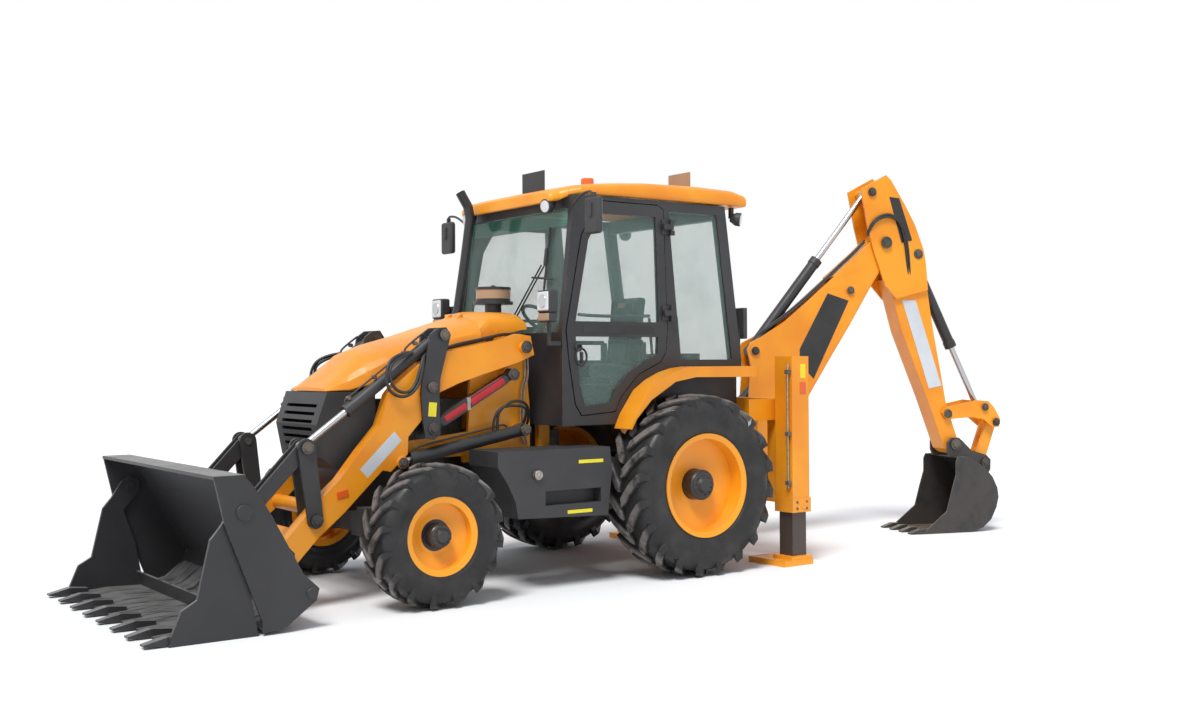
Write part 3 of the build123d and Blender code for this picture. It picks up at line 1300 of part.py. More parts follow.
# ================================================================ export
NODES = {
    "chassis_frame": chassis_frame,
    "engine_block": engine_block,
    "front_axle": front_axle,
    "rear_axle": rear_axle,
    "grille_panel": grille_panel,
    "bonnet": bonnet,
    "body_panels": body_panels,
    "side_tanks": side_tanks,
    "intake_and_exhaust": intake_and_exhaust,
    "lamps_and_mirrors": lamps_and_mirrors,
    "cab_shell": cab_shell,
    "cab_roof": cab_roof,
    "cab_glass": cab_glass,
    "cab_controls": cab_controls,
    "operator_seat": operator_seat,
    "rear_frame": rear_frame,
    "loader_arms": loader_arms,
    "bell_cranks": bell_cranks,
    "levelling_links": levelling_links,
    "lift_barrels": lift_barrels,
    "lift_rods": lift_rods,
    "crowd_pins": crowd_pins,
    "crowd_barrels": crowd_barrels,
    "crowd_rods": crowd_rods,
    "crowd_pistons": crowd_pistons,
    "arm_pins": arm_pins,
    "tip_levers": tip_levers,
    "link_pins": link_pins,
    "tip_links": tip_links,
    "loader_bucket": loader_bucket,
    "bucket_jaw": bucket_jaw,
    "carriage": carriage,
    "kingpost": kingpost,
    "boom": boom,
    "boom_barrel": boom_barrel,
    "boom_rod": boom_rod,
    "dipper": dipper,
    "dipper_barrel": dipper_barrel,
    "dipper_rod": dipper_rod,
    "bucket_barrel": bucket_barrel,
    "bucket_rod": bucket_rod,
    "tipping_lever": tipping_lever,
    "tipping_link": tipping_link,
    "hoe_bucket": hoe_bucket,
}
SIDED = {
    "rear_tyre": rear_tyre,
    "rear_rim": rear_rim,
    "front_tyre": front_tyre,
    "front_rim": front_rim,
    "knuckle": knuckle,
    "door": door,
    "door_glass": door_glass,
    "stabiliser_leg": stabiliser_leg,
}


def main():
    os.makedirs("parts", exist_ok=True)
    for name, make in NODES.items():
        export_step(make(), f"parts/{name}.step")
    for name, make in SIDED.items():
        export_step(make(1), f"parts/{name}_left.step")
        export_step(make(-1), f"parts/{name}_right.step")


if __name__ == "__main__":
    main()
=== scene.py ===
# %% [markdown]
# # A backhoe loader, dressed around its CAD frame
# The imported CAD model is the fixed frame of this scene: every solid already has its real size and
# place, in metres. Blender adds what a maker would call the finish: tread, hoses, lamps, bolts,
# labels, paint and dust. The frame is loaded first, because every later piece is tied to it.

# %% Load the frame
import math
from collections import namedtuple
from contextlib import contextmanager

import bmesh
import bpy
from mathutils import Matrix, Vector


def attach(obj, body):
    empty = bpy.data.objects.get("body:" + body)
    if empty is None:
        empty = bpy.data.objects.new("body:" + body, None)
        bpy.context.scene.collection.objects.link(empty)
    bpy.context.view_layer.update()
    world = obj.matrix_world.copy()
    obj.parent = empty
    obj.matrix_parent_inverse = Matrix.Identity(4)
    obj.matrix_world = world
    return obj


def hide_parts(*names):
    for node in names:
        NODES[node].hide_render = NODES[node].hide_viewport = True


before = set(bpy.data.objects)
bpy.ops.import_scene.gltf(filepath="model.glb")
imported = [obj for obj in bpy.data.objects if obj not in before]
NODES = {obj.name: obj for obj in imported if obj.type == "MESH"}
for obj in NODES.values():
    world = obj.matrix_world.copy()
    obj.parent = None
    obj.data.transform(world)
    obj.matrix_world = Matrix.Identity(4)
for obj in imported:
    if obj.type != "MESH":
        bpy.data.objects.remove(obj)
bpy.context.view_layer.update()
SIDES = (("left", 1), ("right", -1))
print("CAD nodes:", len(NODES))

# %% [markdown]
# The wheels' sizes are read by the tread, the rubber, the rim paint and the hub covers, so they are
# kept in one table. A tyre stands on the ground, so its radius is also the height of its axle.

# %% Wheel sizes
Wheel = namedtuple("Wheel", "x radius track width bead lug_depth lugs lug_lead lug_gauge "
                            "hub_face hub dome painted")
REAR = Wheel(x=0.0, radius=0.672, track=0.922, width=0.430, bead=0.356, lug_depth=0.036, lugs=20,
             lug_lead=0.30, lug_gauge=0.078, hub_face=1.062, hub=0.098, dome=0.030, painted=0.116)
FRONT = Wheel(x=2.170, radius=0.470, track=0.915, width=0.310, bead=0.229, lug_depth=0.028, lugs=16,
              lug_lead=0.33, lug_gauge=0.056, hub_face=1.025, hub=0.076, dome=0.026, painted=0.103)
WHEELS = {"rear": REAR, "front": FRONT}
print("wheels across:", 2 * REAR.radius, "and", 2 * FRONT.radius, "m")

# %% [markdown]
# A camera is a place, a direction and a lens. The direction is kept as yaw and pitch because those
# are easy to read, with a small roll. A small lens shift moves the view without turning the camera.

# %% Camera
EYE = Vector((6.34834, 8.57991, 1.58914))
YAW = 4.07199
PITCH = 0.01314
ROLL = -0.00596
LENS = 39.86
SHIFT = (-0.01828, -0.01172)


def look_matrix(eye, yaw, pitch, roll):
    ahead = Vector((math.cos(yaw) * math.cos(pitch), math.sin(yaw) * math.cos(pitch), math.sin(pitch)))
    right = ahead.cross(Vector((0, 0, 1))).normalized()
    up = right.cross(ahead)
    level_right = math.cos(roll) * right + math.sin(roll) * up
    level_up = -math.sin(roll) * right + math.cos(roll) * up
    columns = Matrix((level_right, level_up, -ahead)).transposed()
    return Matrix.Translation(eye) @ columns.to_4x4()


lens = bpy.data.cameras.new("studio_camera")
lens.lens = LENS
lens.sensor_width = 36
lens.sensor_fit = "HORIZONTAL"
lens.shift_x, lens.shift_y = SHIFT
lens.clip_end = 200
camera = bpy.data.objects.new("studio_camera", lens)
bpy.context.scene.collection.objects.link(camera)
camera.matrix_world = look_matrix(EYE, YAW, PITCH, ROLL)
bpy.context.scene.camera = camera
print("camera stands", round(EYE.length, 2), "m from the rear axle")

# %% [markdown]
# A studio has a plain pale floor and soft light. The floor is one wide sheet, and one broad sun
# lights it. The world is white to the camera, to reflections and through glass, and a dimmer grey
# to everything else, so the background stays white and the paint isn't washed out.

# %% Floor, sun and world
def graph(owner):
    owner.use_nodes = True
    return owner.node_tree.nodes, owner.node_tree.links


def either(nodes, links, first, second):
    """The larger of two outputs, which is their union when both are 0 or 1."""
    made = nodes.new("ShaderNodeMath")
    made.operation = "MAXIMUM"
    links.new(first, made.inputs[0])
    links.new(second, made.inputs[1])
    return made.outputs[0]


FLOOR_TONE = (0.93, 0.93, 0.93, 1)
FILL_TONE = (0.86, 0.90, 0.96, 1)
FILL_STRENGTH = 0.62
SUN_STRENGTH = 2.6
SUN_AIM = Vector((-0.55, -0.42, -1.0))
FLOOR_REACH = 60

floor_form = bmesh.new()
bmesh.ops.create_grid(floor_form, x_segments=1, y_segments=1, size=FLOOR_REACH)
floor_mesh = bpy.data.meshes.new("floor")
floor_form.to_mesh(floor_mesh)
floor_form.free()
floor = bpy.data.objects.new("floor", floor_mesh)
bpy.context.scene.collection.objects.link(floor)
floor_finish = bpy.data.materials.new("studio_floor")
nodes, links = graph(floor_finish)
sockets = nodes["Principled BSDF"].inputs
sockets["Base Color"].default_value = FLOOR_TONE
sockets["Roughness"].default_value = 0.9
sockets["Specular IOR Level"].default_value = 0.0
floor_mesh.materials.append(floor_finish)

sun_data = bpy.data.lights.new("soft_sun", "SUN")
sun_data.energy = SUN_STRENGTH
sun_data.angle = math.radians(20)
sun = bpy.data.objects.new("soft_sun", sun_data)
bpy.context.scene.collection.objects.link(sun)
sun.rotation_euler = SUN_AIM.to_track_quat("-Z", "Y").to_euler()

world = bpy.data.worlds.new("studio")
bpy.context.scene.world = world
nodes, links = graph(world)
background = nodes["Background"]
white = nodes.new("ShaderNodeBackground")
white.inputs["Color"].default_value = (1, 1, 1, 1)
background.inputs["Color"].default_value = FILL_TONE
background.inputs["Strength"].default_value = FILL_STRENGTH
rays = nodes.new("ShaderNodeLightPath")
through = either(nodes, links, rays.outputs["Is Transmission Ray"], rays.outputs["Is Glossy Ray"])
seen = either(nodes, links, rays.outputs["Is Camera Ray"], through)
choice = nodes.new("ShaderNodeMixShader")
links.new(seen, choice.inputs["Fac"])
links.new(background.outputs[0], choice.inputs[1])
links.new(white.outputs[0], choice.inputs[2])
links.new(choice.outputs[0], nodes["World Output"].inputs["Surface"])
bpy.context.scene.view_settings.view_transform = "Standard"
print("one sun and a grey fill light the machine")

# %% [markdown]
# Paint is never one flat colour. Enamel on a working machine is a little darker in broad patches,
# rubbed through along its edges, and dusty where it faces the sky or sits close to the ground.
# Each of those is one mask, and a finish is a stack of masks. A small helper class keeps the
# stacks short: it makes a node, feeds its sockets and gives back the output.

# %% A helper for node materials
class Recipe:
    """A finish being mixed: its material, nodes, links and shader."""

    def __init__(self, name):
        self.material = bpy.data.materials.new(name)
        self.nodes, self.links = graph(self.material)
        self.shader = self.nodes["Principled BSDF"]
        self.place = self.make("ShaderNodeTexCoord").outputs["Object"]

    def make(self, kind, **settings):
        made = self.nodes.new(kind)
        for key, value in settings.items():
            setattr(made, key, value)
        return made

    def feed(self, socket, source):
        if isinstance(source, bpy.types.NodeSocket):
            self.links.new(source, socket)
        else:
            socket.default_value = source

    def maths(self, operation, *sources, clamp=False):
        made = self.make("ShaderNodeMath", operation=operation, use_clamp=clamp)
        for socket, source in zip(made.inputs, sources):
            self.feed(socket, source)
        return made.outputs[0]

    def moved(self, centre=(0, 0, 0), stretch=(1, 1, 1)):
        made = self.make("ShaderNodeMapping")
        self.feed(made.inputs["Vector"], self.place)
        made.inputs["Location"].default_value = [-c * s for c, s in zip(centre, stretch)]
        made.inputs["Scale"].default_value = stretch
        return made.outputs[0]

    def noise(self, scale, detail=3.0, stretch=None):
        made = self.make("ShaderNodeTexNoise")
        self.feed(made.inputs["Vector"], self.moved(stretch=stretch) if stretch else self.place)
        made.inputs["Scale"].default_value = scale
        made.inputs["Detail"].default_value = detail
        return made.outputs["Fac"]

    def ramp(self, source, low, high, top=1.0):
        made = self.make("ShaderNodeMapRange", interpolation_type="SMOOTHSTEP")
        self.feed(made.inputs["Value"], source)
        made.inputs["From Min"].default_value = low
        made.inputs["From Max"].default_value = high
        made.inputs["To Max"].default_value = top
        return made.outputs[0]

    def blend(self, amount, first, second):
        made = self.make("ShaderNodeMix", data_type="RGBA")
        self.feed(made.inputs["Factor"], amount)
        for socket, source in zip((made.inputs[6], made.inputs[7]), (first, second)):
            self.feed(socket, source if isinstance(source, bpy.types.NodeSocket) else (*source, 1))
        return made.outputs[2]

    def parts(self, vector):
        made = self.make("ShaderNodeSeparateXYZ")
        self.feed(made.inputs[0], vector)
        return made.outputs

    def upward(self):
        return self.parts(self.make("ShaderNodeNewGeometry").outputs["Normal"])[2]

    def from_axle(self, wheel):
        """Distance from a wheel's axle, which runs along Y."""
        x, _, z = self.parts(self.moved((wheel.x, 0, wheel.radius)))[:3]
        squares = self.maths("ADD", self.maths("MULTIPLY", x, x), self.maths("MULTIPLY", z, z))
        return self.maths("SQRT", squares)

    def rubbed(self, radius, wear, scale=38.0, low=0.46, high=0.62):
        """Specks along the edges where the paint has gone."""
        return self.maths("MULTIPLY", self.edges(radius), self.ramp(self.noise(scale, 6.0), low, high, wear))

    def edges(self, radius):
        """1 along the outer edges within a radius, 0 on the flats."""
        rounded = self.make("ShaderNodeBevel", samples=4)
        rounded.inputs["Radius"].default_value = radius
        turned = self.make("ShaderNodeVectorMath", operation="DOT_PRODUCT")
        self.feed(turned.inputs[0], rounded.outputs[0])
        self.feed(turned.inputs[1], self.make("ShaderNodeNewGeometry").outputs["Normal"])
        return self.ramp(self.maths("SUBTRACT", 1.0, turned.outputs["Value"]), 0.02, 0.25)

    def relief(self, height, depth, strength=1.0, radius=0.0):
        made = self.make("ShaderNodeBump")
        made.inputs["Strength"].default_value = strength
        made.inputs["Distance"].default_value = depth
        self.feed(made.inputs["Height"], height)
        if radius:
            rounded = self.make("ShaderNodeBevel", samples=4)
            rounded.inputs["Radius"].default_value = radius
            self.feed(made.inputs["Normal"], rounded.outputs[0])
        self.feed(self.shader.inputs["Normal"], made.outputs[0])

    def done(self, colour, rough, metal=0.0, **sockets):
        tone = colour if isinstance(colour, bpy.types.NodeSocket) else (*colour, 1)
        self.feed(self.shader.inputs["Base Color"], tone)
        self.feed(self.shader.inputs["Roughness"], rough)
        self.shader.inputs["Metallic"].default_value = metal
        for key, value in sockets.items():
            self.shader.inputs[key.replace("_", " ")].default_value = value
        return self.material


# %% [markdown]
# The enamel recipe serves every painted colour. Its tones are linear colour values. `wear` sets
# how much of the edges shows the primer, and `dust` how much dust lies on top and near the ground.

# %% Painted finishes
DUST = (0.33, 0.28, 0.22)
ORANGE = (0.905, 0.345, 0.012)
ORANGE_SHADE = (0.80, 0.255, 0.008)
BLACK = (0.022, 0.022, 0.024)
BLACK_SHADE = (0.034, 0.034, 0.036)
BEIGE = (0.42, 0.27, 0.16)


def enamel(name, tone, shade, primer, gloss=0.36, wear=0.6, dust=0.3, radius=0.004):
    mix = Recipe(name)
    patches = mix.ramp(mix.noise(1.7), 0.35, 0.7)
    colour = mix.blend(patches, tone, shade)
    colour = mix.blend(mix.rubbed(radius * 1.6, wear), colour, primer)
    sky = mix.ramp(mix.upward(), 0.5, 1.0)
    low = mix.ramp(mix.parts(mix.place)[2], 1.1, 0.1, 0.7)
    settled = mix.maths("MAXIMUM", sky, low)
    cloud = mix.ramp(mix.noise(5.0, 6.0), 0.38, 0.75, dust)
    dusty = mix.maths("MULTIPLY", settled, cloud)
    colour = mix.blend(dusty, colour, DUST)
    rough = mix.maths("ADD", mix.maths("MULTIPLY", dusty, 0.5), mix.ramp(mix.noise(9.0), 0.2, 0.8, 0.12))
    mix.relief(mix.noise(140.0, 2.0), 0.0006, 0.25, radius)
    return mix.done(colour, mix.maths("ADD", rough, gloss))


orange = enamel("orange_enamel", ORANGE, ORANGE_SHADE, (0.30, 0.13, 0.05),
                gloss=0.30, wear=0.35, dust=0.22)
black = enamel("black_enamel", BLACK, BLACK_SHADE, (0.16, 0.145, 0.13),
               gloss=0.42, wear=0.8, dust=0.22)
red = enamel("red_enamel", (0.52, 0.012, 0.02), (0.42, 0.01, 0.015), (0.2, 0.1, 0.1), dust=0.25)
print("painted finishes:", orange.name, black.name, red.name)

# %% [markdown]
# Some steel is never painted. Cast parts keep a coarse dark skin, fittings are zinc plated, and the
# ram rods are hard chrome. These differ mostly in tone, in roughness and in the size of the grain.

# %% Bare metals
def bare_steel(name, tone, stain, scale, rough, metal=0.9):
    mix = Recipe(name)
    grain = mix.noise(scale, 8.0)
    patches = mix.ramp(mix.noise(3.2, 5.0), 0.35, 0.68)
    colour = mix.blend(mix.ramp(grain, 0.3, 0.72), tone, stain)
    colour = mix.blend(mix.maths("MULTIPLY", patches, 0.5), colour, DUST)
    mix.relief(grain, 0.001, 0.5, 0.003)
    spread = mix.maths("MULTIPLY", patches, 0.25)
    return mix.done(colour, mix.maths("ADD", spread, rough), metal)


cast = bare_steel("cast_skin", (0.06, 0.058, 0.056), (0.03, 0.029, 0.028), 60, 0.55, metal=0.4)
plated = bare_steel("zinc_plated", (0.50, 0.49, 0.46), (0.30, 0.28, 0.25), 40, 0.35)
mix = Recipe("chromed_rod")
mix.relief(mix.noise(400.0, 2.0), 0.0001, 0.2)
streaked = mix.maths("ADD", mix.ramp(mix.noise(12.0), 0.2, 0.9, 0.2), 0.16)
chrome = mix.done((0.50, 0.51, 0.53), streaked, metal=1.0)
print("bare metals:", cast.name, plated.name, chrome.name)

# %% [markdown]
# Rubber takes its look from dust. On a tyre the tops of the lugs are scuffed pale grey, while the
# sidewall stays dark with a brown bloom. The height above the rim is the distance from the axle,
# so the finish measures that distance from Object coordinates centred on the wheel.

# %% Rubber, plastic, cloth and glass
def tyre_rubber(name, wheel):
    mix = Recipe(name)
    crown = mix.ramp(mix.from_axle(wheel), wheel.radius - 0.030, wheel.radius - 0.004)
    scuffed = mix.maths("MULTIPLY", crown, mix.ramp(mix.noise(14.0, 6.0), 0.25, 0.6, 0.85))
    bloom = mix.ramp(mix.noise(7.0, 7.0), 0.42, 0.8, 0.35)
    colour = mix.blend(bloom, (0.019, 0.019, 0.020), (0.07, 0.062, 0.055))
    colour = mix.blend(scuffed, colour, (0.20, 0.178, 0.168))
    mix.relief(mix.noise(160.0, 4.0), 0.001, 0.4)
    return mix.done(colour, mix.ramp(mix.noise(5.0), 0.1, 0.9, 0.9), Specular_IOR_Level=0.35)


def plastic(name, tone, rough, grain=300.0, metal=0.0, **sockets):
    mix = Recipe(name)
    pale = [0.7 * c + 0.03 for c in tone]
    faded = mix.blend(mix.ramp(mix.noise(4.0, 5.0), 0.3, 0.8, 0.6), tone, pale)
    mix.relief(mix.noise(grain, 3.0), 0.0006, 0.35)
    return mix.done(faded, rough, metal, **sockets)


trim = plastic("black_plastic", (0.030, 0.030, 0.032), 0.55)
hose = plastic("hose_rubber", (0.016, 0.016, 0.017), 0.48, 500.0)
beige = plastic("beige_plastic", BEIGE, 0.5)
amber = plastic("amber_lens", (0.85, 0.16, 0.01), 0.15)
reflector = plastic("orange_reflector", (0.80, 0.12, 0.01), 0.25)
blank_plate = plastic("blank_pale_plate", (0.62, 0.66, 0.70), 0.45)
yellow = plastic("yellow_strip", (0.86, 0.72, 0.02), 0.5)
panel_black = plastic("black_panel", (0.014, 0.014, 0.015), 0.4)


def cloth(name, tone):
    mix = Recipe(name)
    weave = mix.make("ShaderNodeTexWave", wave_type="BANDS", bands_direction="DIAGONAL")
    mix.feed(weave.inputs["Vector"], mix.place)
    weave.inputs["Scale"].default_value = 160.0
    mix.relief(weave.outputs["Fac"], 0.001, 0.6)
    colour = mix.blend(mix.ramp(mix.noise(20.0, 5.0), 0.3, 0.8), tone, [c * 1.8 for c in tone])
    return mix.done(colour, 0.95, Sheen_Weight=0.3)


def glass(name, tint, clear, rough=0.02):
    """Thin safety glass: mostly see-through, tinted, with a mirror-like sheen at grazing angles."""
    mix = Recipe(name)
    smear = mix.ramp(mix.noise(3.0, 6.0), 0.45, 0.9, 0.10)
    mix.feed(mix.shader.inputs["Alpha"], mix.maths("ADD", smear, 1.0 - clear))
    return mix.done(tint, rough, Specular_IOR_Level=0.6)


seat_cloth = cloth("seat_cloth", (0.035, 0.036, 0.04))
window = glass("tinted_glass", (0.24, 0.38, 0.34), 0.82)
lens_glass = plastic("lamp_glass", (0.75, 0.76, 0.78), 0.08)
mirror = plastic("mirror_face", (0.6, 0.62, 0.64), 0.06, metal=1.0)
rear_rubber = tyre_rubber("rear_tyre_rubber", REAR)
front_rubber = tyre_rubber("front_tyre_rubber", FRONT)
print("rubber, plastic, cloth and glass finishes:", len(bpy.data.materials), "materials so far")

# %% [markdown]
# Some CAD solids carry more than one finish in real life: a wheel disc is orange with a black hub,
# a bucket is black outside and ground bare where the soil slides. A mask from Object coordinates
# or from the direction that a face looks in splits those finishes without touching the mesh.

# %% Finishes that change across one solid
def two_tone(name, first, second, chooser, gloss=0.34, wear=0.4, dust=0.25):
    """Enamel whose tone turns from first to second where chooser gives 1."""
    mix = Recipe(name)
    colour = mix.blend(chooser(mix), first, second)
    colour = mix.blend(mix.rubbed(0.006, wear), colour, (0.17, 0.14, 0.12))
    cloud = mix.ramp(mix.noise(5.0, 6.0), 0.38, 0.75, dust)
    settled = mix.maths("MULTIPLY", mix.ramp(mix.upward(), 0.4, 1.0), cloud)
    colour = mix.blend(settled, colour, DUST)
    mix.relief(mix.noise(140.0, 2.0), 0.0006, 0.25, 0.004)
    return mix.done(colour, mix.maths("ADD", mix.maths("MULTIPLY", settled, 0.5), gloss))


def hub_of(wheel):
    return lambda mix: mix.maths("LESS_THAN", mix.from_axle(wheel), wheel.painted)


def below(height):
    return lambda mix: mix.maths("LESS_THAN", mix.parts(mix.place)[2], height)


def band(low, high, right_limit):
    """1 between two heights, to the left of a place across the machine."""
    def chooser(mix):
        _, y, z = mix.parts(mix.place)[:3]
        tall = mix.maths("MULTIPLY", mix.maths("GREATER_THAN", z, low), mix.maths("LESS_THAN", z, high))
        return mix.maths("MULTIPLY", tall, mix.maths("GREATER_THAN", y, right_limit))
    return chooser


def soil_ground(name, tone, low=0.2, high=0.85):
    """Black enamel outside; faces that look up or inwards are scoured and dusty."""
    mix = Recipe(name)
    streaks = mix.noise(7.0, 8.0, (0.6, 3.0, 1.0))
    facing = mix.ramp(mix.upward(), low, high)
    scoured = mix.maths("MULTIPLY", facing, mix.ramp(streaks, 0.28, 0.55))
    colour = mix.blend(mix.ramp(mix.noise(2.2, 5.0), 0.35, 0.75, 0.7), BLACK, BLACK_SHADE)
    colour = mix.blend(mix.rubbed(0.008, 0.8, 30.0, 0.45, 0.6), colour, (0.12, 0.11, 0.10))
    colour = mix.blend(scoured, colour, tone)
    mix.relief(mix.noise(90.0, 5.0), 0.0012, 0.4, 0.004)
    return mix.done(colour, 0.46)


rear_rim_paint = two_tone("rear_rim_enamel", ORANGE, BLACK, hub_of(REAR))
front_rim_paint = two_tone("front_rim_enamel", ORANGE, BLACK, hub_of(FRONT))
frame_paint = two_tone("frame_enamel", ORANGE, BLACK, below(0.885))
intake_paint = two_tone("intake_plastic", BLACK, BEIGE, band(2.064, 2.131, -0.25), wear=0.1)
leg_finish = two_tone("leg_finish", (0.060, 0.042, 0.034), ORANGE, below(0.0725), gloss=0.4, wear=0.8)
bucket_paint = soil_ground("loader_bucket_enamel", (0.17, 0.165, 0.16))
hoe_paint = soil_ground("digging_bucket_enamel", (0.15, 0.115, 0.085), -0.2, 0.6)

FINISHES = {
    orange: "bonnet body_panels cab_roof loader_arms rear_frame carriage kingpost boom dipper "
            "tipping_lever tipping_link",
    black: "levelling_links front_axle rear_axle knuckle_left knuckle_right bell_cranks tip_levers "
           "tip_links lift_barrels crowd_barrels boom_barrel dipper_barrel bucket_barrel cab_shell "
           "door_left door_right",
    trim: "grille_panel side_tanks lamps_and_mirrors cab_controls",
    cast: "engine_block crowd_pins link_pins arm_pins crowd_pistons",
    chrome: "lift_rods crowd_rods boom_rod dipper_rod bucket_rod",
    window: "cab_glass door_glass_left door_glass_right",
    seat_cloth: "operator_seat",
    leg_finish: "stabiliser_leg_left stabiliser_leg_right",
    frame_paint: "chassis_frame",
    intake_paint: "intake_and_exhaust",
    rear_rim_paint: "rear_rim_left rear_rim_right",
    front_rim_paint: "front_rim_left front_rim_right",
    rear_rubber: "rear_tyre_left rear_tyre_right",
    front_rubber: "front_tyre_left front_tyre_right",
    bucket_paint: "loader_bucket bucket_jaw",
    hoe_paint: "hoe_bucket",
}
for paint, names in FINISHES.items():
    for name in names.split():
        mesh = NODES[name].data
        mesh.materials.clear()
        mesh.materials.append(paint)
print("finishes on", sum(len(names.split()) for names in FINISHES.values()), "CAD nodes")

# %% [markdown]
# New pieces share a few steps: a bmesh is built with operators, written to a mesh, given a finish
# and tied to the CAD body that carries it. `publish` does that. A `with piece(...)` block opens an
# empty bmesh, and publishes it when the block ends.


def publish(name, form, paint, body="machine", slot=None, smooth=30.0, bevel=0.0, segments=2, replaces=()):
    bmesh.ops.remove_doubles(form, verts=form.verts, dist=1e-6)
    bmesh.ops.recalc_face_normals(form, faces=form.faces)
    mesh = bpy.data.meshes.new(name)
    form.to_mesh(mesh)
    form.free()
    mesh.materials.append(paint)
    thing = bpy.data.objects.new(name, mesh)
    bpy.context.scene.collection.objects.link(thing)
    if bevel:
        rounding = thing.modifiers.new("rounding", "BEVEL")
        rounding.width = bevel
        rounding.segments = segments
        rounding.limit_method = "ANGLE"
        rounding.angle_limit = math.radians(35)
    if smooth:
        mesh.shade_smooth()
        mesh.set_sharp_from_angle(angle=math.radians(smooth))
    else:
        mesh.shade_flat()
    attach(thing, body)
    if replaces:
        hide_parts(*replaces)
    return thing


@contextmanager
def piece(name, paint, body="machine", **how):
    form = bmesh.new()
    yield form
    publish(name, form, paint, body, **how)


def loop_after(cap, loop):
    """The new ring's vertices in the order of the ring they grew from."""
    fresh = set(cap.verts)
    return [next(e.other_vert(vert) for e in vert.link_edges if e.other_vert(vert) in fresh) for vert in loop]


def loft(form, rings):
    """A form through rings of equal length, by repeated extrusion; each inner ring keeps its face."""
    loop = [form.verts.new(point) for point in rings[0]]
    cap = form.faces.new(loop)
    for ring in rings[1:]:
        grown = bmesh.ops.extrude_face_region(form, geom=[cap])["geom"]
        cap = next(item for item in grown if isinstance(item, bmesh.types.BMFace))
        loop = loop_after(cap, loop)
        for vert, point in zip(loop, ring):
            vert.co = point


def spun(form, profile, centre, steps=96):
    """A closed profile of (across, out) points turned round an axle along Y."""
    ring = [form.verts.new((centre[0], centre[1] + across, centre[2] + out)) for across, out in profile]
    edges = [form.edges.new((a, b)) for a, b in zip(ring, ring[1:] + ring[:1])]
    bmesh.ops.spin(form, geom=ring + edges, cent=centre, axis=(0, 1, 0), angle=math.tau, steps=steps,
                   use_merge=True)


# %% [markdown]
# A traction tyre is a plain carcass with bars of rubber on it. The bars run from the middle of the
# tread to the shoulder at an angle, with their inner ends leading, and the two rows are half a
# pitch apart. Every bar is lofted through the same few sections, turned to its own place round the
# axle, so the pattern is exact and the file stays short. The bars wrap over the shoulder and taper.

# %% Tyres with their lugs
def carcass_profile(wheel):
    """Half of the carcass section as (distance from the middle, radius); the other half mirrors it."""
    half, bead = wheel.width / 2, wheel.bead
    crown = wheel.radius - wheel.lug_depth
    side = [  # share of the half width, radius
        (0.00, crown), (0.55, crown - 0.004), (0.80, crown - 0.016), (0.93, crown - 0.040),
        (1.00, crown - 0.085), (1.00, bead + (crown - bead) * 0.50), (0.955, bead + 0.085),
        (0.90, bead + 0.052), (0.90, bead + 0.046), (0.875, bead + 0.044), (0.855, bead + 0.028),
        (0.74, bead + 0.001),
    ]
    return [(share * half, radius) for share, radius in side]


LUG_STATIONS = [  # share of the half width, share of the lead, drop below the crown, share of the gauge
    (0.03, 1.00, 0.000, 0.80), (0.20, 0.86, 0.000, 1.06), (0.48, 0.50, 0.002, 0.98),
    (0.80, 0.16, 0.008, 0.92), (0.955, 0.02, 0.022, 0.86), (1.008, 0.00, 0.075, 0.62),
]
SHOULDER = 0.9
FOOT_FLARE = 1.25


def add_lug(form, axle, wheel, hand, turn):
    """One tread bar: sections from the tread's middle to below the shoulder."""
    half = wheel.width / 2
    rings = []
    for share, lead, drop, gauge in LUG_STATIONS:
        inner = share < SHOULDER
        high = wheel.radius - drop
        low = wheel.radius - wheel.lug_depth - drop - (0.020 if inner else 0.032)
        across_low = share * half if inner else (share - 0.07) * half
        pitch = wheel.lug_gauge * gauge / 2 / wheel.radius
        middle = turn + wheel.lug_lead * lead
        ring = []
        for side, radius, across in ((-1, low, across_low), (-1, high, share * half),
                                     (1, high, share * half), (1, low, across_low)):
            angle = middle + side * pitch * (FOOT_FLARE if radius == low else 1.0)
            ring.append(axle + Vector((radius * math.sin(angle), hand * across, radius * math.cos(angle))))
        rings.append(ring)
    loft(form, rings)


def make_tyre(end, wheel, rubber, side, hand):
    axle = Vector((wheel.x, hand * wheel.track, wheel.radius))
    with piece(f"{end}_tread_tyre_{side}", rubber, f"{end}_wheel_{side}", smooth=40, bevel=0.006,
               replaces=(f"{end}_tyre_{side}",)) as form:
        near = carcass_profile(wheel)
        far = [(-across, radius) for across, radius in reversed(near[1:])]
        spun(form, near + far, axle)
        for row in (-1, 1):
            for index in range(wheel.lugs):
                turn = math.tau * (index + (0.5 if row > 0 else 0)) / wheel.lugs
                add_lug(form, axle, wheel, row, turn)


for side, hand in SIDES:
    make_tyre("rear", REAR, rear_rubber, side, hand)
    make_tyre("front", FRONT, front_rubber, side, hand)
print("four tyres with", 2 * REAR.lugs, "rear and", 2 * FRONT.lugs, "front lugs each")

# %% [markdown]
# Most of the remaining pieces are small solids of the same few kinds: rounded blocks, bars between
# two places and bent pipes. Each kind has one helper. `sided` mirrors places to either side of the
# machine, and `HOE` carries a place drawn in the backhoe's own plane to where it is parked.

# %% Helpers for small solids
HOE = Matrix.Translation((-1.36, -0.42, 0)) @ Matrix.Rotation(math.radians(160), 4, "Z")


def sided(hand):
    return lambda x, y, z: (x, hand * y, z)


def tilted(place, degrees):
    """A frame at a place, leaning about the machine's Y axis."""
    return Matrix.Translation(place) @ Matrix.Rotation(math.radians(degrees), 4, "Y")


def block(form, low, high, place=Matrix()):
    """A box between two opposite corners."""
    low, high = Vector(low), Vector(high)
    size = Matrix.Diagonal((*(high - low), 1))
    bmesh.ops.create_cube(form, size=1, matrix=place @ Matrix.Translation((low + high) / 2) @ size)


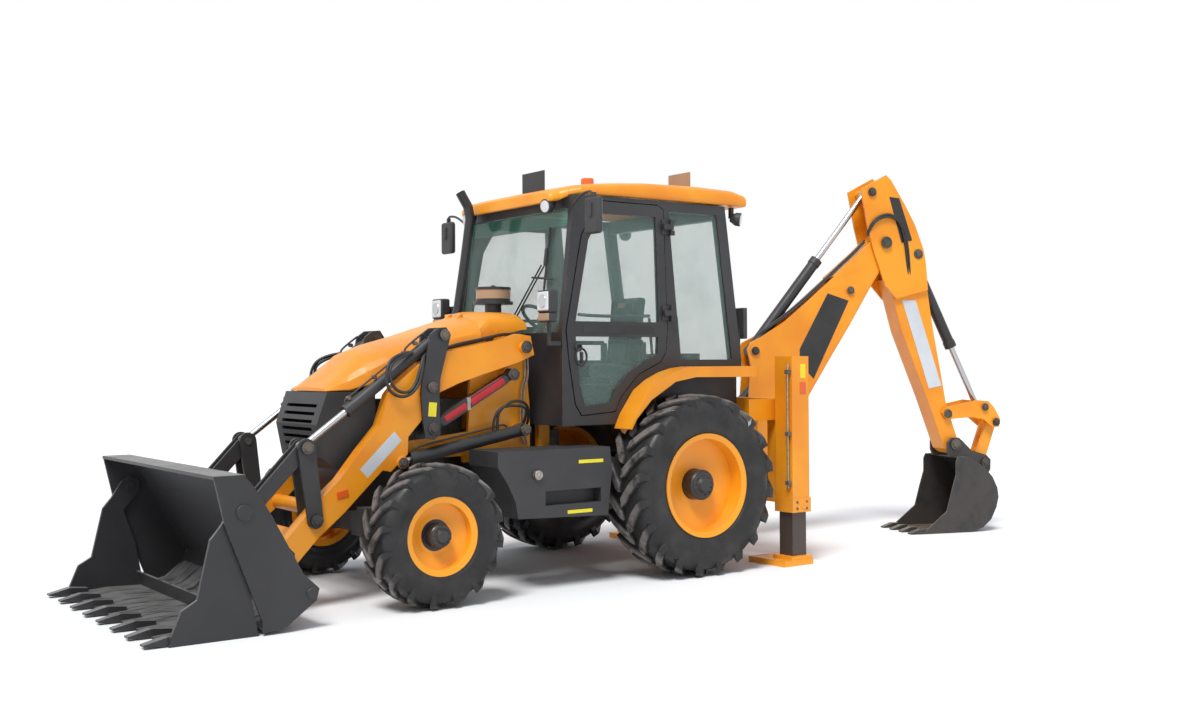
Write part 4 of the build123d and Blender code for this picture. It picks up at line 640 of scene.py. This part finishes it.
def bar(form, start, end, radius, far=None, sides=32, place=Matrix()):
    """A round bar, or a cone if its far radius differs."""
    start, end = Vector(start), Vector(end)
    run = end - start
    turn = run.to_track_quat("Z", "Y").to_matrix().to_4x4()
    bmesh.ops.create_cone(form, cap_ends=True, segments=sides, radius1=radius, radius2=far or radius,
                          depth=run.length, matrix=place @ Matrix.Translation((start + end) / 2) @ turn)


def sheet_of(form, corners, thick, place=Matrix()):
    """A thin plate through flat corners, thickened along its own normal."""
    face = form.faces.new([form.verts.new(place @ Vector(corner)) for corner in corners])
    face.normal_update()
    grown = bmesh.ops.extrude_face_region(form, geom=[face])["geom"]
    moved = [item for item in grown if isinstance(item, bmesh.types.BMVert)]
    bmesh.ops.translate(form, verts=moved, vec=face.normal * thick)


def evaluated_mesh(thing):
    return bpy.data.meshes.new_from_object(thing.evaluated_get(bpy.context.evaluated_depsgraph_get()))


def bent_pipe(name, points, radius, paint, body="machine", place=Matrix()):
    """A smooth pipe or hose through a short list of places, as a closed mesh."""
    line = bpy.data.curves.new(name, "CURVE")
    line.dimensions = "3D"
    line.bevel_depth = radius
    line.bevel_resolution = 4
    line.resolution_u = 10
    line.use_fill_caps = True
    spline = line.splines.new("NURBS")
    spline.points.add(len(points) - 1)
    for knot, point in zip(spline.points, points):
        knot.co = (*(place @ Vector(point)), 1)
    spline.order_u = 3
    spline.use_endpoint_u = True
    holder = bpy.data.objects.new(name, line)
    bpy.context.scene.collection.objects.link(holder)
    mesh = evaluated_mesh(holder)
    bpy.data.objects.remove(holder)
    form = bmesh.new()
    form.from_mesh(mesh)
    bpy.data.meshes.remove(mesh)
    publish(name, form, paint, body, smooth=50)


print("helpers ready")

# %% [markdown]
# The lamps and mirrors are bought-in parts, so they keep their own look: a moulded black shell, a
# clear or tinted lens that stands a little proud, and a bracket. Rounded edges come from a bevel,
# which catches the light as a moulded edge does. They stand in for the CAD node of that name.

# %% Lamps and mirrors
for side, hand in SIDES:
    at = sided(hand)
    with piece(f"headlamp_shell_{side}", trim, bevel=0.016, segments=4,
               replaces=("lamps_and_mirrors",)) as shell:
        block(shell, at(1.134, 0.690, 1.935), at(1.216, 0.850, 2.095))
        block(shell, at(1.140, 0.698, 1.868), at(1.210, 0.842, 1.940))
    with piece(f"headlamp_lens_{side}", lens_glass, bevel=0.010, segments=3) as lens:
        block(lens, at(1.200, 0.700, 1.948), at(1.222, 0.840, 2.084))
    with piece(f"headlamp_bowl_{side}", mirror, smooth=40) as bowl:
        bar(bowl, at(1.219, 0.770, 2.016), at(1.226, 0.770, 2.016), 0.050, 0.046, 40)
    with piece(f"signal_lens_{side}", beige, bevel=0.008, segments=3) as signal:
        block(signal, at(1.200, 0.706, 1.878), at(1.218, 0.834, 1.930))
    with piece(f"headlamp_stalk_{side}", trim, bevel=0.004) as stalk:
        block(stalk, at(1.041, 0.717, 1.703), at(1.150, 0.743, 1.738))
        bar(stalk, at(1.138, 0.730, 1.705), at(1.138, 0.730, 1.880), 0.014)
        bar(stalk, at(1.110, 0.730, 2.000), at(1.140, 0.760, 2.010), 0.022)
        block(stalk, at(1.090, 0.700, 1.975), at(1.116, 0.745, 2.035))

    with piece(f"mirror_shell_{side}", trim, bevel=0.021, segments=5) as head:
        block(head, at(0.937, 0.942, 2.482), at(0.983, 1.118, 2.743))
    with piece(f"mirror_face_{side}", mirror, bevel=0.003) as face:
        block(face, at(0.933, 0.958, 2.498), at(0.942, 1.102, 2.727))
    arm = [at(0.955, 0.752, 2.700), at(0.962, 0.860, 2.768), at(0.966, 0.985, 2.790), at(0.964, 1.030, 2.770),
           at(0.962, 1.030, 2.640)]
    bent_pipe(f"mirror_arm_{side}", arm, 0.009, trim)
    with piece(f"mirror_joint_{side}", trim, bevel=0.003) as joint:
        bar(joint, at(0.985, 1.030, 2.60), at(0.985, 1.030, 2.70), 0.014)
        bar(joint, at(0.955, 1.030, 2.735), at(0.955, 1.030, 2.775), 0.017)

    for name, x, y, z, aim in (("front", 0.990, 0.560, 2.722, (0.075, 0.012, -0.010)),
                               ("rear", -0.610, 0.700, 2.712, (-0.050, 0.058, -0.012))):
        back, way = Vector(at(x, y, z)), Vector(at(*aim))
        with piece(f"{name}_work_lamp_{side}", trim, bevel=0.004) as lamp:
            bar(lamp, back - way * 0.1, back + way * 0.45, 0.024, 0.050, 40)
            bar(lamp, back + way * 0.45, back + way, 0.052, 0.054, 40)
            block(lamp, at(x - 0.016, y - 0.018, z), at(x + 0.014, y + 0.018, 2.798))
        with piece(f"{name}_work_lamp_lens_{side}", lens_glass, smooth=40) as pane:
            bar(pane, back + way * 0.94, back + way * 1.05, 0.046, 0.041, 40)
    with piece(f"tail_lamp_shell_{side}", trim, bevel=0.006) as tail_lamp:
        block(tail_lamp, at(-0.738, 0.642, 1.762), at(-0.700, 0.743, 2.008))
        block(tail_lamp, at(-0.702, 0.660, 1.532), at(-0.690, 0.700, 1.840))
        block(tail_lamp, at(-0.702, 0.660, 1.532), at(-0.666, 0.700, 1.590))
    for shade, low, high in ((reflector, 1.895, 1.995), (amber, 1.780, 1.880)):
        with piece(f"tail_lens_{side}_{round(low * 1000)}", shade, bevel=0.004) as pane:
            block(pane, at(-0.744, 0.652, low), at(-0.734, 0.733, high))
print("lamps and mirrors on both sides")

# %% [markdown]
# The roof carries an amber beacon and two blank plates. The windscreen has one long wiper with two
# arms, and a tint along its top. Each door has a ringed pull, a bar strip, an inner rail and straps
# with bolts at its hinges.

# %% Roof fittings, wiper and handles
with piece("beacon", amber, smooth=40, bevel=0.006, segments=3) as beacon:
    bar(beacon, (0.30, 0.025, 2.925), (0.30, 0.025, 2.950), 0.062, 0.060, 48)
    bar(beacon, (0.30, 0.025, 2.950), (0.30, 0.025, 3.035), 0.055, 0.050, 48)
with piece("roof_plate", panel_black, bevel=0.0015) as card:
    block(card, (0.926, 0.062, 2.850), (0.932, 0.366, 3.012))
    block(card, (0.920, 0.205, 2.835), (0.934, 0.225, 2.860))
with piece("rear_roof_plate", beige, bevel=0.0015) as card:
    block(card, (-0.426, 0.150, 2.945), (-0.420, 0.425, 3.100))

SCREEN_FOOT, SCREEN_HEAD = (1.016, 1.801), (0.920, 2.699)  # x and z, just outside the windscreen
LEAN = (SCREEN_HEAD[0] - SCREEN_FOOT[0]) / (SCREEN_HEAD[1] - SCREEN_FOOT[1])


def on_screen(y, z, proud):
    """A place that stands proud of the windscreen."""
    return (SCREEN_FOOT[0] + LEAN * (z - SCREEN_FOOT[1]) + proud, y, z)


with piece("windscreen_wiper", trim, bevel=0.002) as wiper:
    bar(wiper, on_screen(0.455, 2.110, 0.016), on_screen(0.470, 2.575, 0.016), 0.009, sides=10)
    bar(wiper, on_screen(0.462, 2.300, 0.030), on_screen(0.466, 2.420, 0.030), 0.014, sides=12)
    for foot in (0.060, 0.105):
        bar(wiper, on_screen(foot, 1.905, 0.026), on_screen(0.360 + foot, 2.300, 0.034), 0.0065, sides=10)
    bar(wiper, on_screen(0.055, 1.895, 0.0), on_screen(0.110, 1.905, 0.0), 0.030, sides=20)
    bar(wiper, on_screen(0.300, 2.215, 0.030), on_screen(0.560, 2.190, 0.020), 0.008, sides=10)

with piece("windscreen_tint", glass("green_tint", (0.0, 0.16, 0.10), 0.35), slot="clear_glass",
           smooth=0) as tint:
    block(tint, (0.000, -0.695, 0.0), (0.004, 0.695, 0.120),
          tilted(on_screen(0, 2.575, -0.008), math.degrees(math.atan(LEAN))))

for side, hand in SIDES:
    at = sided(hand)
    body = f"door_{side}"
    pull_at = Vector(at(0.880, 0.755, 1.622))
    with piece(f"door_pull_ring_{side}", trim, body, smooth=60) as pull:
        section = [(0.0, 0.052), (0.012, 0.050), (0.014, 0.046), (0.004, 0.042), (0.0, 0.040)]
        spun(pull, section, pull_at, 40)
        bmesh.ops.scale(pull, vec=(1, hand, 1.35), verts=pull.verts, space=Matrix.Translation(-pull_at))
    with piece(f"door_pull_{side}", panel_black, body, bevel=0.005, segments=3) as grip:
        block(grip, at(0.868, 0.752, 1.585), at(0.892, 0.770, 1.660))
    with piece(f"door_bar_strip_{side}", panel_black, body, bevel=0.001) as strip:
        block(strip, at(0.200, 0.7535, 1.795), at(0.860, 0.7565, 1.855))
    rail = [at(0.215, 0.700, 1.930), at(0.225, 0.640, 1.930), at(0.420, 0.630, 1.925),
            at(0.700, 0.640, 1.925), at(0.860, 0.700, 1.930)]
    bent_pipe(f"door_inner_rail_{side}", rail, 0.012, trim, body)
    with piece(f"door_hinge_straps_{side}", trim, body, bevel=0.003) as knuckle:
        for z in (1.950, 2.600):
            block(knuckle, at(0.055, 0.752, z - 0.055), at(0.135, 0.768, z + 0.055))
            for bolt in (z - 0.020, z + 0.022):
                bar(knuckle, at(0.115, 0.765, bolt), at(0.115, 0.776, bolt), 0.012, sides=6)
print("roof fittings, wiper and door fittings")

# %% [markdown]
# The working gear is held together by steel pins. Each pin shows a round collar, a smaller cap and
# two lock bolts, and they all look alike, so one function makes them from a short table of places.

# %% Pin caps
PINS = [  # name, body, x and z in the side view, outer face, collar radius
    ("arm_pivot", "machine", 1.242, 1.696, 0.597, 0.046),
    ("tower_link", "machine", 1.323, 1.501, 0.558, 0.044),
    ("lift_base", "machine", 1.225, 1.103, 0.558, 0.042),
    ("lift_rod", "arms", 2.205, 0.919, 0.570, 0.036),
    ("lever_pivot", "bell_cranks", 1.990, 1.421, 0.589, 0.038),
    ("lever_top", "bell_cranks", 1.900, 1.778, 0.597, 0.038),
    ("lever_foot", "bell_cranks", 1.982, 1.138, 0.581, 0.042),
    ("tip_pivot", "arms", 2.834, 0.579, 0.597, 0.040),
    ("tip_apex", "tip_levers", 2.895, 1.048, 0.597, 0.040),
    ("bucket_pin", "arms", 3.040, 0.345, 0.597, 0.042),
]
HOE_PINS = [  # the same, in the backhoe's own plane
    ("boom_foot", "kingpost", 0.380, 0.720, 0.132, 0.052),
    ("boom_ram_foot", "kingpost", 0.150, 1.100, 0.090, 0.040),
    ("boom_ram_head", "boom", 1.304, 2.223, 0.128, 0.036),
    ("dipper_ram_foot", "boom", 0.368, 1.675, 0.128, 0.038),
    ("dipper_hinge", "dipper", 1.653, 2.663, 0.161, 0.056),
    ("dipper_ram_head", "dipper", 1.516, 3.124, 0.153, 0.042),
    ("bucket_ram_foot", "dipper", 1.987, 2.566, 0.143, 0.046),
    ("tipper_hinge", "tipping_lever", 2.280, 1.085, 0.145, 0.042),
    ("tipper_rod", "tipping_lever", 2.672, 1.142, 0.147, 0.036),
    ("tipper_link", "tipping_lever", 2.790, 1.000, 0.145, 0.038),
    ("hoe_hinge", "dipper", 2.340, 0.800, 0.179, 0.050),
    ("hoe_link", "hoe_bucket", 2.655, 0.625, 0.179, 0.044),
]
LOCK_BOLT_LEAN = Vector((0.4, 0.1, 0.9))


def pin_cap(form, centre, out, radius, place):
    """Collar, cap and lock bolts that stand on a face whose outward direction is out."""
    bar(form, centre, centre + out * 0.008, radius, radius * 0.97, 40, place)
    bar(form, centre + out * 0.008, centre + out * 0.016, radius * 0.62, radius * 0.58, 32, place)
    across = out.cross(LOCK_BOLT_LEAN).normalized()
    for end in (-1, 1):
        foot = centre + across * end * radius * 0.80 + out * 0.006
        bar(form, foot, foot + out * 0.008, radius * 0.17, sides=6, place=place)


def cap_pins(pins, sides, place=Matrix()):
    for side, hand in sides:
        for name, body, x, z, reach, radius in pins:
            with piece(f"{name}_cap_{side}", cast, body, bevel=0.0015) as cap:
                pin_cap(cap, Vector((x, hand * reach, z)), Vector((0, hand, 0)), radius, place)


cap_pins(PINS, SIDES)
cap_pins(HOE_PINS, (("near", -1), ("far", 1)), HOE)
PIN_PLACE = {name: (x, z) for name, _, x, z, _, _ in PINS}
print("pin caps:", 2 * len(PINS) + 2 * len(HOE_PINS))

# %% [markdown]
# A wheel shows its hub: a flanged cover with a dome and a ring of bolts. The bolts are six-sided and
# are copied round the axle.

# %% Hub covers
HUB_BOLTS = 12
for side, hand in SIDES:
    out = Vector((0, hand, 0))
    for name, wheel in WHEELS.items():
        centre = Vector((wheel.x, hand * wheel.hub_face, wheel.radius))
        with piece(f"{name}_hub_cover_{side}", black, f"{name}_wheel_{side}", bevel=0.003) as cover:
            bar(cover, centre - out * 0.030, centre + out * 0.006, wheel.hub * 0.98, wheel.hub * 0.92, 64)
            bar(cover, centre, centre + out * wheel.dome, wheel.hub * 0.66, wheel.hub * 0.48, 48)
            for index in range(HUB_BOLTS):
                turn = math.tau * (index + 0.5) / HUB_BOLTS
                foot = centre + Vector((math.sin(turn), 0, math.cos(turn))) * wheel.hub * 0.80
                bar(cover, foot, foot + out * 0.014, 0.0085, sides=6)
print("hub covers on four wheels")

# %% [markdown]
# The loader's rams are fed by thin pipes clamped to the barrels, and hoses loop from the frame and
# the arms towards them. Each one rides whole on one body. A pipe is a smooth line with a round
# section, and a clamp is a short bar across it. Along a ram, places are given as a reach from its
# foot and a lift off its axis.

# %% Ram pipes, hoses and clamps
def point_on(start, end, reach, lift, y):
    """A place at some reach along a ram and lifted off its axis, in the side view."""
    run = Vector((end[0] - start[0], 0, end[1] - start[1])).normalized()
    up = Vector((-run.z, 0, run.x))
    return Vector((start[0], y, start[1])) + run * reach + up * lift


def along(ram, route, y):
    return [point_on(*ram, reach, lift, y) for reach, lift in route]


CROWD_RAM = (PIN_PLACE["lever_top"], PIN_PLACE["tip_apex"])
LIFT_RAM = (PIN_PLACE["lift_base"], PIN_PLACE["lift_rod"])
CROWD_PIPE = [(0.300, 0.046), (0.310, 0.062), (0.360, 0.066), (0.560, 0.064), (0.800, 0.064),
              (0.826, 0.062), (0.832, 0.038)]
CROWD_FEED = [(0.085, 0.036), (0.088, 0.078), (0.120, 0.082), (0.250, 0.080), (0.270, 0.070),
              (0.285, 0.060)]
LIFT_PIPE = [(0.120, 0.046), (0.135, 0.070), (0.200, 0.072), (0.500, 0.070), (0.780, 0.070),
             (0.868, 0.066), (0.876, 0.044)]
RAM_Y = 0.505
for side, hand in SIDES:
    at = sided(hand)
    y = hand * RAM_Y
    bent_pipe(f"crowd_pipe_{side}", along(CROWD_RAM, CROWD_PIPE, y), 0.0065, trim, "crowd_barrels")
    bent_pipe(f"crowd_feed_{side}", along(CROWD_RAM, CROWD_FEED, y), 0.0075, trim, "crowd_barrels")
    with piece(f"crowd_clamps_{side}", cast, "crowd_barrels", bevel=0.002) as clamps:
        half = Vector((0, 0.018, 0))
        for reach in (0.180, 0.290, 0.560, 0.790):
            spot = point_on(*CROWD_RAM, reach, 0.060, y)
            bar(clamps, spot - half, spot + half, 0.014, sides=12)
    for number, sink in enumerate((0.0, 0.030)):
        route = [at(2.150 - sink, 0.545, 1.660), at(2.290, 0.585, 1.640 - sink),
                 at(2.360 - sink, 0.610, 1.520), at(2.330 - sink, 0.612, 1.390 + sink),
                 at(2.215, 0.612, 1.350 + sink), at(2.110 + sink, 0.606, 1.420),
                 at(2.072 + sink / 2, 0.598, 1.560), at(2.055, 0.575, 1.640), at(1.995, 0.520, 1.655)]
        bent_pipe(f"crank_hose_{side}_{number}", route, 0.0105, hose, "arms")
    bent_pipe(f"lift_pipe_{side}", along(LIFT_RAM, LIFT_PIPE, y), 0.0075, trim, "lift_barrels")
    for number, sink in enumerate((0.0, 0.035)):
        route = [at(1.430 + sink, 0.505, 1.100), at(1.440 + sink, 0.515, 1.170),
                 at(1.430, 0.530, 1.250 + sink / 2), at(1.330, 0.540, 1.318 - sink),
                 at(1.200, 0.540, 1.300 - sink), at(1.160 + sink, 0.500, 1.180),
                 at(1.150 + sink, 0.440, 1.120)]
        bent_pipe(f"lift_hose_{side}_{number}", route, 0.010, hose)
    for number in range(2):
        x = 1.128 + 0.026 * number
        route = [at(x, 0.432, 1.620), at(x - 0.006, 0.436, 1.480), at(x + 0.030, 0.436, 1.420),
                 at(x + 0.040, 0.436, 1.250), at(x + 0.036, 0.436, 1.060), at(x + 0.010, 0.436, 1.000)]
        bent_pipe(f"tower_pipe_{side}_{number}", route, 0.0065, plated)
        y, lift = 0.452 + 0.016 * number, 0.014 * number
        route = [at(1.200, y, 1.778), at(1.320, y, 1.800), at(1.520, y, 1.742 + lift),
                 at(1.800, y, 1.690 + lift), at(1.870, y + 0.004, 1.672)]
        bent_pipe(f"arm_hose_{side}_{number}", route, 0.010, hose, "arms")
print("pipes and hoses on the loader")

# %% [markdown]
# The backhoe's hoses run along the boom's upper edge, over the head and down the dipper. Plain dark
# panels, pale plates and small labels stand where a working machine has its signs; all are blank.

# %% Backhoe hoses, plates and labels
TUBE_Y = -0.085
for number in range(2):
    step = 0.020 * number
    edge = [(0.400 + step, 1.815), (0.560, 1.905), (0.790, 2.070), (1.000, 2.245), (1.200, 2.425),
            (1.395, 2.590), (1.470, 2.670)]
    route = [(x, TUBE_Y, z + step) for x, z in edge]
    bent_pipe(f"boom_tube_{number}", route, 0.009, hose, "boom", HOE)
    route = [(1.478, -0.126, 2.745 - step), (1.498, -0.158, 2.830 - step), (1.580, -0.164, 2.905 - step),
             (1.700, -0.164, 2.930 - step), (1.815 - step, -0.160, 2.850), (1.862 - step, -0.156, 2.700),
             (1.890 - step, -0.146, 2.520), (1.905 - step, -0.130, 2.360)]
    bent_pipe(f"head_hose_{number}", route, 0.011, hose, "dipper", HOE)
PANELS = [  # name, body, finish, y of the face, thickness, outline in x and z
    ("boom_panel", "boom", panel_black, -0.1155, 0.004,
     [(0.800, 1.560), (0.935, 1.420), (1.290, 2.130), (1.080, 2.195), (0.800, 1.690)]),
    ("head_panel", "dipper", panel_black, -0.1425, 0.003,
     [(1.695, 3.085), (1.795, 3.075), (1.925, 2.690), (1.815, 2.665)]),
    ("dipper_plate", "dipper", blank_plate, -0.1055, 0.003,
     [(1.835, 2.140), (1.975, 2.140), (2.236, 1.345), (2.105, 1.320)]),
]
for name, body, paint, y, thick, outline in PANELS:
    with piece(name, paint, body, slot="black_plastic", smooth=0) as plate:
        sheet_of(plate, [(x, y, z) for x, z in outline], thick, HOE)
for side, hand in SIDES:
    with piece(f"arm_plate_{side}", blank_plate, "arms", smooth=0) as plate:
        corners = [(2.515, 0.890), (2.265, 1.130), (2.210, 1.068), (2.460, 0.830)]
        sheet_of(plate, [(x, hand * 0.5555, z) for x, z in corners[::-hand]], 0.003)
    with piece(f"arm_reflector_{side}", reflector, "arms", bevel=0.004) as lens:
        block(lens, (-0.042, hand * 0.553, -0.026), (0.042, hand * 0.561, 0.026),
              tilted((2.640, 0, 0.735), 12))
    with piece(f"crank_label_{side}", yellow, "bell_cranks", smooth=0) as label:
        block(label, (-0.030, hand * 0.580, -0.048), (0.030, hand * 0.582, 0.048),
              tilted((1.990, 0, 1.270), -5))
    for name, x, z in (("upper", 0.936, 0.890), ("lower", 1.032, 0.545)):
        with piece(f"tank_strip_{name}_{side}", yellow, smooth=0) as strip:
            block(strip, (x - 0.105, hand * 0.949, z - 0.012), (x + 0.105, hand * 0.952, z + 0.012))
with piece("tank_cap", plated, bevel=0.003) as cap:
    bar(cap, (1.389, 0.952, 0.816), (1.389, 0.978, 0.816), 0.036, 0.032, 40)
    bar(cap, (1.389, 0.978, 0.816), (1.389, 0.984, 0.816), 0.014, 0.012, 6)

STRUT_Y = 0.542
STRUT = (PIN_PLACE["tower_link"], PIN_PLACE["lever_foot"])
with piece("safety_strut_cover", red, "levelling_links", smooth=50, bevel=0.003) as strut:
    for near, far in ((0.090, 0.400), (0.438, 0.632)):
        bar(strut, point_on(*STRUT, near, 0, 0), point_on(*STRUT, far, 0, 0), 0.035)
    bmesh.ops.scale(strut, vec=(1, 0.45, 1), verts=strut.verts)
    bmesh.ops.translate(strut, vec=(0, STRUT_Y - 0.0005, 0), verts=strut.verts)
with piece("safety_strut_clip", plated, "levelling_links", bevel=0.004) as clip:
    place = Matrix.Translation(point_on(*STRUT, 0.418, 0, STRUT_Y))
    block(clip, (-0.014, -0.014, -0.046), (0.014, 0.016, 0.046), place)

for side, hand in SIDES:
    at = sided(hand)
    with piece(f"leg_clamps_{side}", cast, bevel=0.003) as fit:
        for z in (1.500, 1.020, 0.640):
            block(fit, at(-0.846, 1.080, z - 0.016), at(-0.812, 1.120, z + 0.016))
    route = [at(-0.835, 1.100, 1.560), at(-0.826, 1.100, 1.540), at(-0.826, 1.100, 1.100),
             at(-0.826, 1.100, 0.640), at(-0.834, 1.096, 0.600)]
    bent_pipe(f"leg_pipe_{side}", route, 0.008, plated)
    with piece(f"collar_bolts_{side}", cast, bevel=0.001) as bolt:
        for z in (0.440, 0.490):
            for x in (-0.990, -0.890):
                bar(bolt, at(x, 1.133, z), at(x, 1.139, z), 0.011, sides=6)
print("hoses, plates, labels and small fittings")

# %% [markdown]
# The roof is one moulded shell that droops into a visor over the windscreen. A row of cross-sections
# along the machine describes it: each has a half width, an underside and a top. Lofting through them
# and subdividing twice gives the soft, thick edges of a moulding.

# %% Moulded roof
ROOF_ROWS = [  # x, half width, underside z, top z
    (-0.738, 0.700, 2.812, 2.868), (-0.736, 0.735, 2.806, 2.890), (-0.715, 0.765, 2.801, 2.915),
    (-0.600, 0.775, 2.800, 2.944), (-0.250, 0.776, 2.800, 2.952), (0.250, 0.776, 2.800, 2.940),
    (0.560, 0.774, 2.800, 2.916), (0.740, 0.768, 2.800, 2.896), (0.850, 0.740, 2.800, 2.880),
    (0.930, 0.690, 2.780, 2.864), (0.985, 0.655, 2.752, 2.852), (1.040, 0.640, 2.742, 2.836),
    (1.062, 0.628, 2.744, 2.818), (1.066, 0.600, 2.752, 2.800),
]


def roof_ring(x, half, low, high):
    """Eighteen places round one section, with rounded corners."""
    tall = high - low
    side = [(half - 0.030, 0.0), (half - 0.008, 0.06), (half, 0.22), (half - 0.002, 0.50),
            (half - 0.016, 0.74), (half - 0.060, 0.90), (half * 0.80, 0.97), (half * 0.45, 1.0)]
    right = [(x, -y, low + tall * share) for y, share in side]
    left = [(x, y, low + tall * share) for y, share in reversed(side)]
    return right + [(x, 0, high)] + left + [(x, 0, low)]


roof = bmesh.new()
loft(roof, [roof_ring(*row) for row in ROOF_ROWS])
shell = publish("moulded_roof", roof, orange, smooth=50, replaces=("cab_roof",))
rounding = shell.modifiers.new("rounding", "SUBSURF")
rounding.levels = 2
rounding.render_levels = 2
print("roof lofted through", len(ROOF_ROWS), "sections")

# %% [markdown]
# The bonnet's CAD form is right but its sheets meet in facets. In a copy with merged vertices, the
# shading runs smoothly across shallow angles, and a narrow bevel rounds the real edges.

# %% Smooth bonnet and cowl
for node, body in (("bonnet", "bonnet"), ("body_panels", "machine")):
    with piece(f"{node}_sheet", orange, body, smooth=38, bevel=0.004, replaces=(node,)) as form:
        form.from_mesh(NODES[node].data)
        bmesh.ops.remove_doubles(form, verts=form.verts, dist=1e-5)
        bmesh.ops.dissolve_limit(form, angle_limit=math.radians(0.5), verts=form.verts, edges=form.edges)
print("bonnet and body panels smoothed")

# %% [markdown]
# Padded things need a cloth's look: they bulge between their edges. Each pad starts as a rounded
# block a little smaller than its space. It is remeshed finely, inflated with Blender's Cloth under
# gentle pressure without gravity, and then the result is kept and the modifier removed. Points may
# move only so far, so that the pad stays in its place. Two sewn channels are pressed in afterwards.

# %% Padded seat
PADS = [  # name, low corner, high corner, where it is placed, lean in degrees about Y
    ("seat_cushion", (-0.205, -0.222, 0.000), (0.235, 0.222, 0.092), (0.150, 0, 1.462), -3),
    ("seat_back", (-0.038, -0.205, 0.000), (0.036, 0.205, 0.560), (-0.052, 0, 1.556), -7),
]
PAD_REACH = 0.016
PAD_PRESSURE = 4
CLOTH_STEPS = 20
VOXEL = 0.009
CHANNELS = (-0.12, 0.12)
CHANNEL_HALF, CHANNEL_DEPTH = 0.016, 0.010


def bake(thing):
    """Keep what the modifiers make, and take the modifiers off."""
    made = evaluated_mesh(thing)
    thing.modifiers.clear()
    thing.data = made


def inflate(pad):
    """Cloth under pressure for a few steps; no point moves further than the pad's reach."""
    still = [vert.co.copy() for vert in pad.data.vertices]
    cloth_on = pad.modifiers.new("cloth", "CLOTH")
    cloth_on.settings.use_pressure = True
    cloth_on.settings.uniform_pressure_force = PAD_PRESSURE
    cloth_on.settings.effector_weights.gravity = 0
    for step in range(1, CLOTH_STEPS + 1):
        bpy.context.scene.frame_set(step)
    bake(pad)
    bpy.context.scene.frame_set(1)
    for vert, rest in zip(pad.data.vertices, still):
        shift = vert.co - rest
        if shift.length > PAD_REACH:
            vert.co = rest + shift.normalized() * PAD_REACH


def pad_form(form, name, low, high, place):
    block(form, low, high)
    bmesh.ops.bevel(form, geom=form.edges[:], offset=0.030, segments=4, affect="EDGES", profile=0.6)
    mesh = bpy.data.meshes.new(name)
    form.to_mesh(mesh)
    pad = bpy.data.objects.new(name, mesh)
    bpy.context.scene.collection.objects.link(pad)
    remesh = pad.modifiers.new("remesh", "REMESH")
    remesh.mode = "VOXEL"
    remesh.voxel_size = VOXEL
    bake(pad)
    inflate(pad)
    form.clear()
    form.from_mesh(pad.data)
    bpy.data.objects.remove(pad)
    for vert in form.verts:
        channel = min(abs(vert.co.y - line) for line in CHANNELS)
        if channel < CHANNEL_HALF:
            vert.co -= vert.normal * CHANNEL_DEPTH * (1 - channel / CHANNEL_HALF)
    form.transform(place)


for name, low, high, spot, lean in PADS:
    form = bmesh.new()
    pad_form(form, name, low, high, tilted(spot, lean))
    pad = publish(name, form, seat_cloth, "seat", smooth=60, replaces=("operator_seat",))
with piece("seat_frame", trim, "seat", bevel=0.004) as seat_frame:
    bar(seat_frame, (0.150, 0, 1.4185), (0.150, 0, 1.442), 0.120, sides=48)
    bar(seat_frame, (0.150, 0, 1.440), (0.150, 0, 1.470), 0.060, sides=32)
    block(seat_frame, (-0.060, -0.200, 1.448), (0.370, 0.200, 1.464))
    for hand in (-1, 1):
        block(seat_frame, (-0.085, hand * 0.262 - 0.014, 1.490), (-0.035, hand * 0.262 + 0.014, 1.740))
        block(seat_frame, (-0.085, hand * 0.236 - 0.030, 1.490), (-0.035, hand * 0.236 + 0.030, 1.512))
with piece("armrest_pads", trim, "seat", bevel=0.012, segments=4) as rest_pads:
    for hand in (-1, 1):
        block(rest_pads, (-0.050, hand * 0.262 - 0.028, 1.724), (0.265, hand * 0.262 + 0.028, 1.758))
with piece("seat_patch", beige, "seat", slot="seat_cloth", smooth=0) as patch:
    block(patch, (0, -0.050, -0.022), (0.002, 0.050, 0.022), tilted((-0.046, 0, 2.040), -7))
print("padded seat with its frame")

# %% [markdown]
# Last come the marks that stand on the stabiliser boxes: a reflector, a blank yellow label and the
# round boss of the collar's wear-pad screw.

# %% Stabiliser marks
for side, hand in SIDES:
    with piece(f"leg_reflector_{side}", reflector, bevel=0.003) as mark_plate:
        block(mark_plate, (-0.995, hand * 1.124, 1.330), (-0.935, hand * 1.131, 1.420))
    with piece(f"leg_label_{side}", yellow, smooth=0) as mark_plate:
        block(mark_plate, (-0.995, hand * 1.124, 1.450), (-0.940, hand * 1.127, 1.560))
    with piece(f"collar_boss_{side}", orange, bevel=0.001) as boss:
        bar(boss, (-0.965, hand * 1.131, 0.465), (-0.965, hand * 1.138, 0.465), 0.034, 0.032, 40)
        bar(boss, (-0.965, hand * 1.1375, 0.465), (-0.965, hand * 1.1395, 0.465), 0.012, sides=6)
print("stabiliser marks")
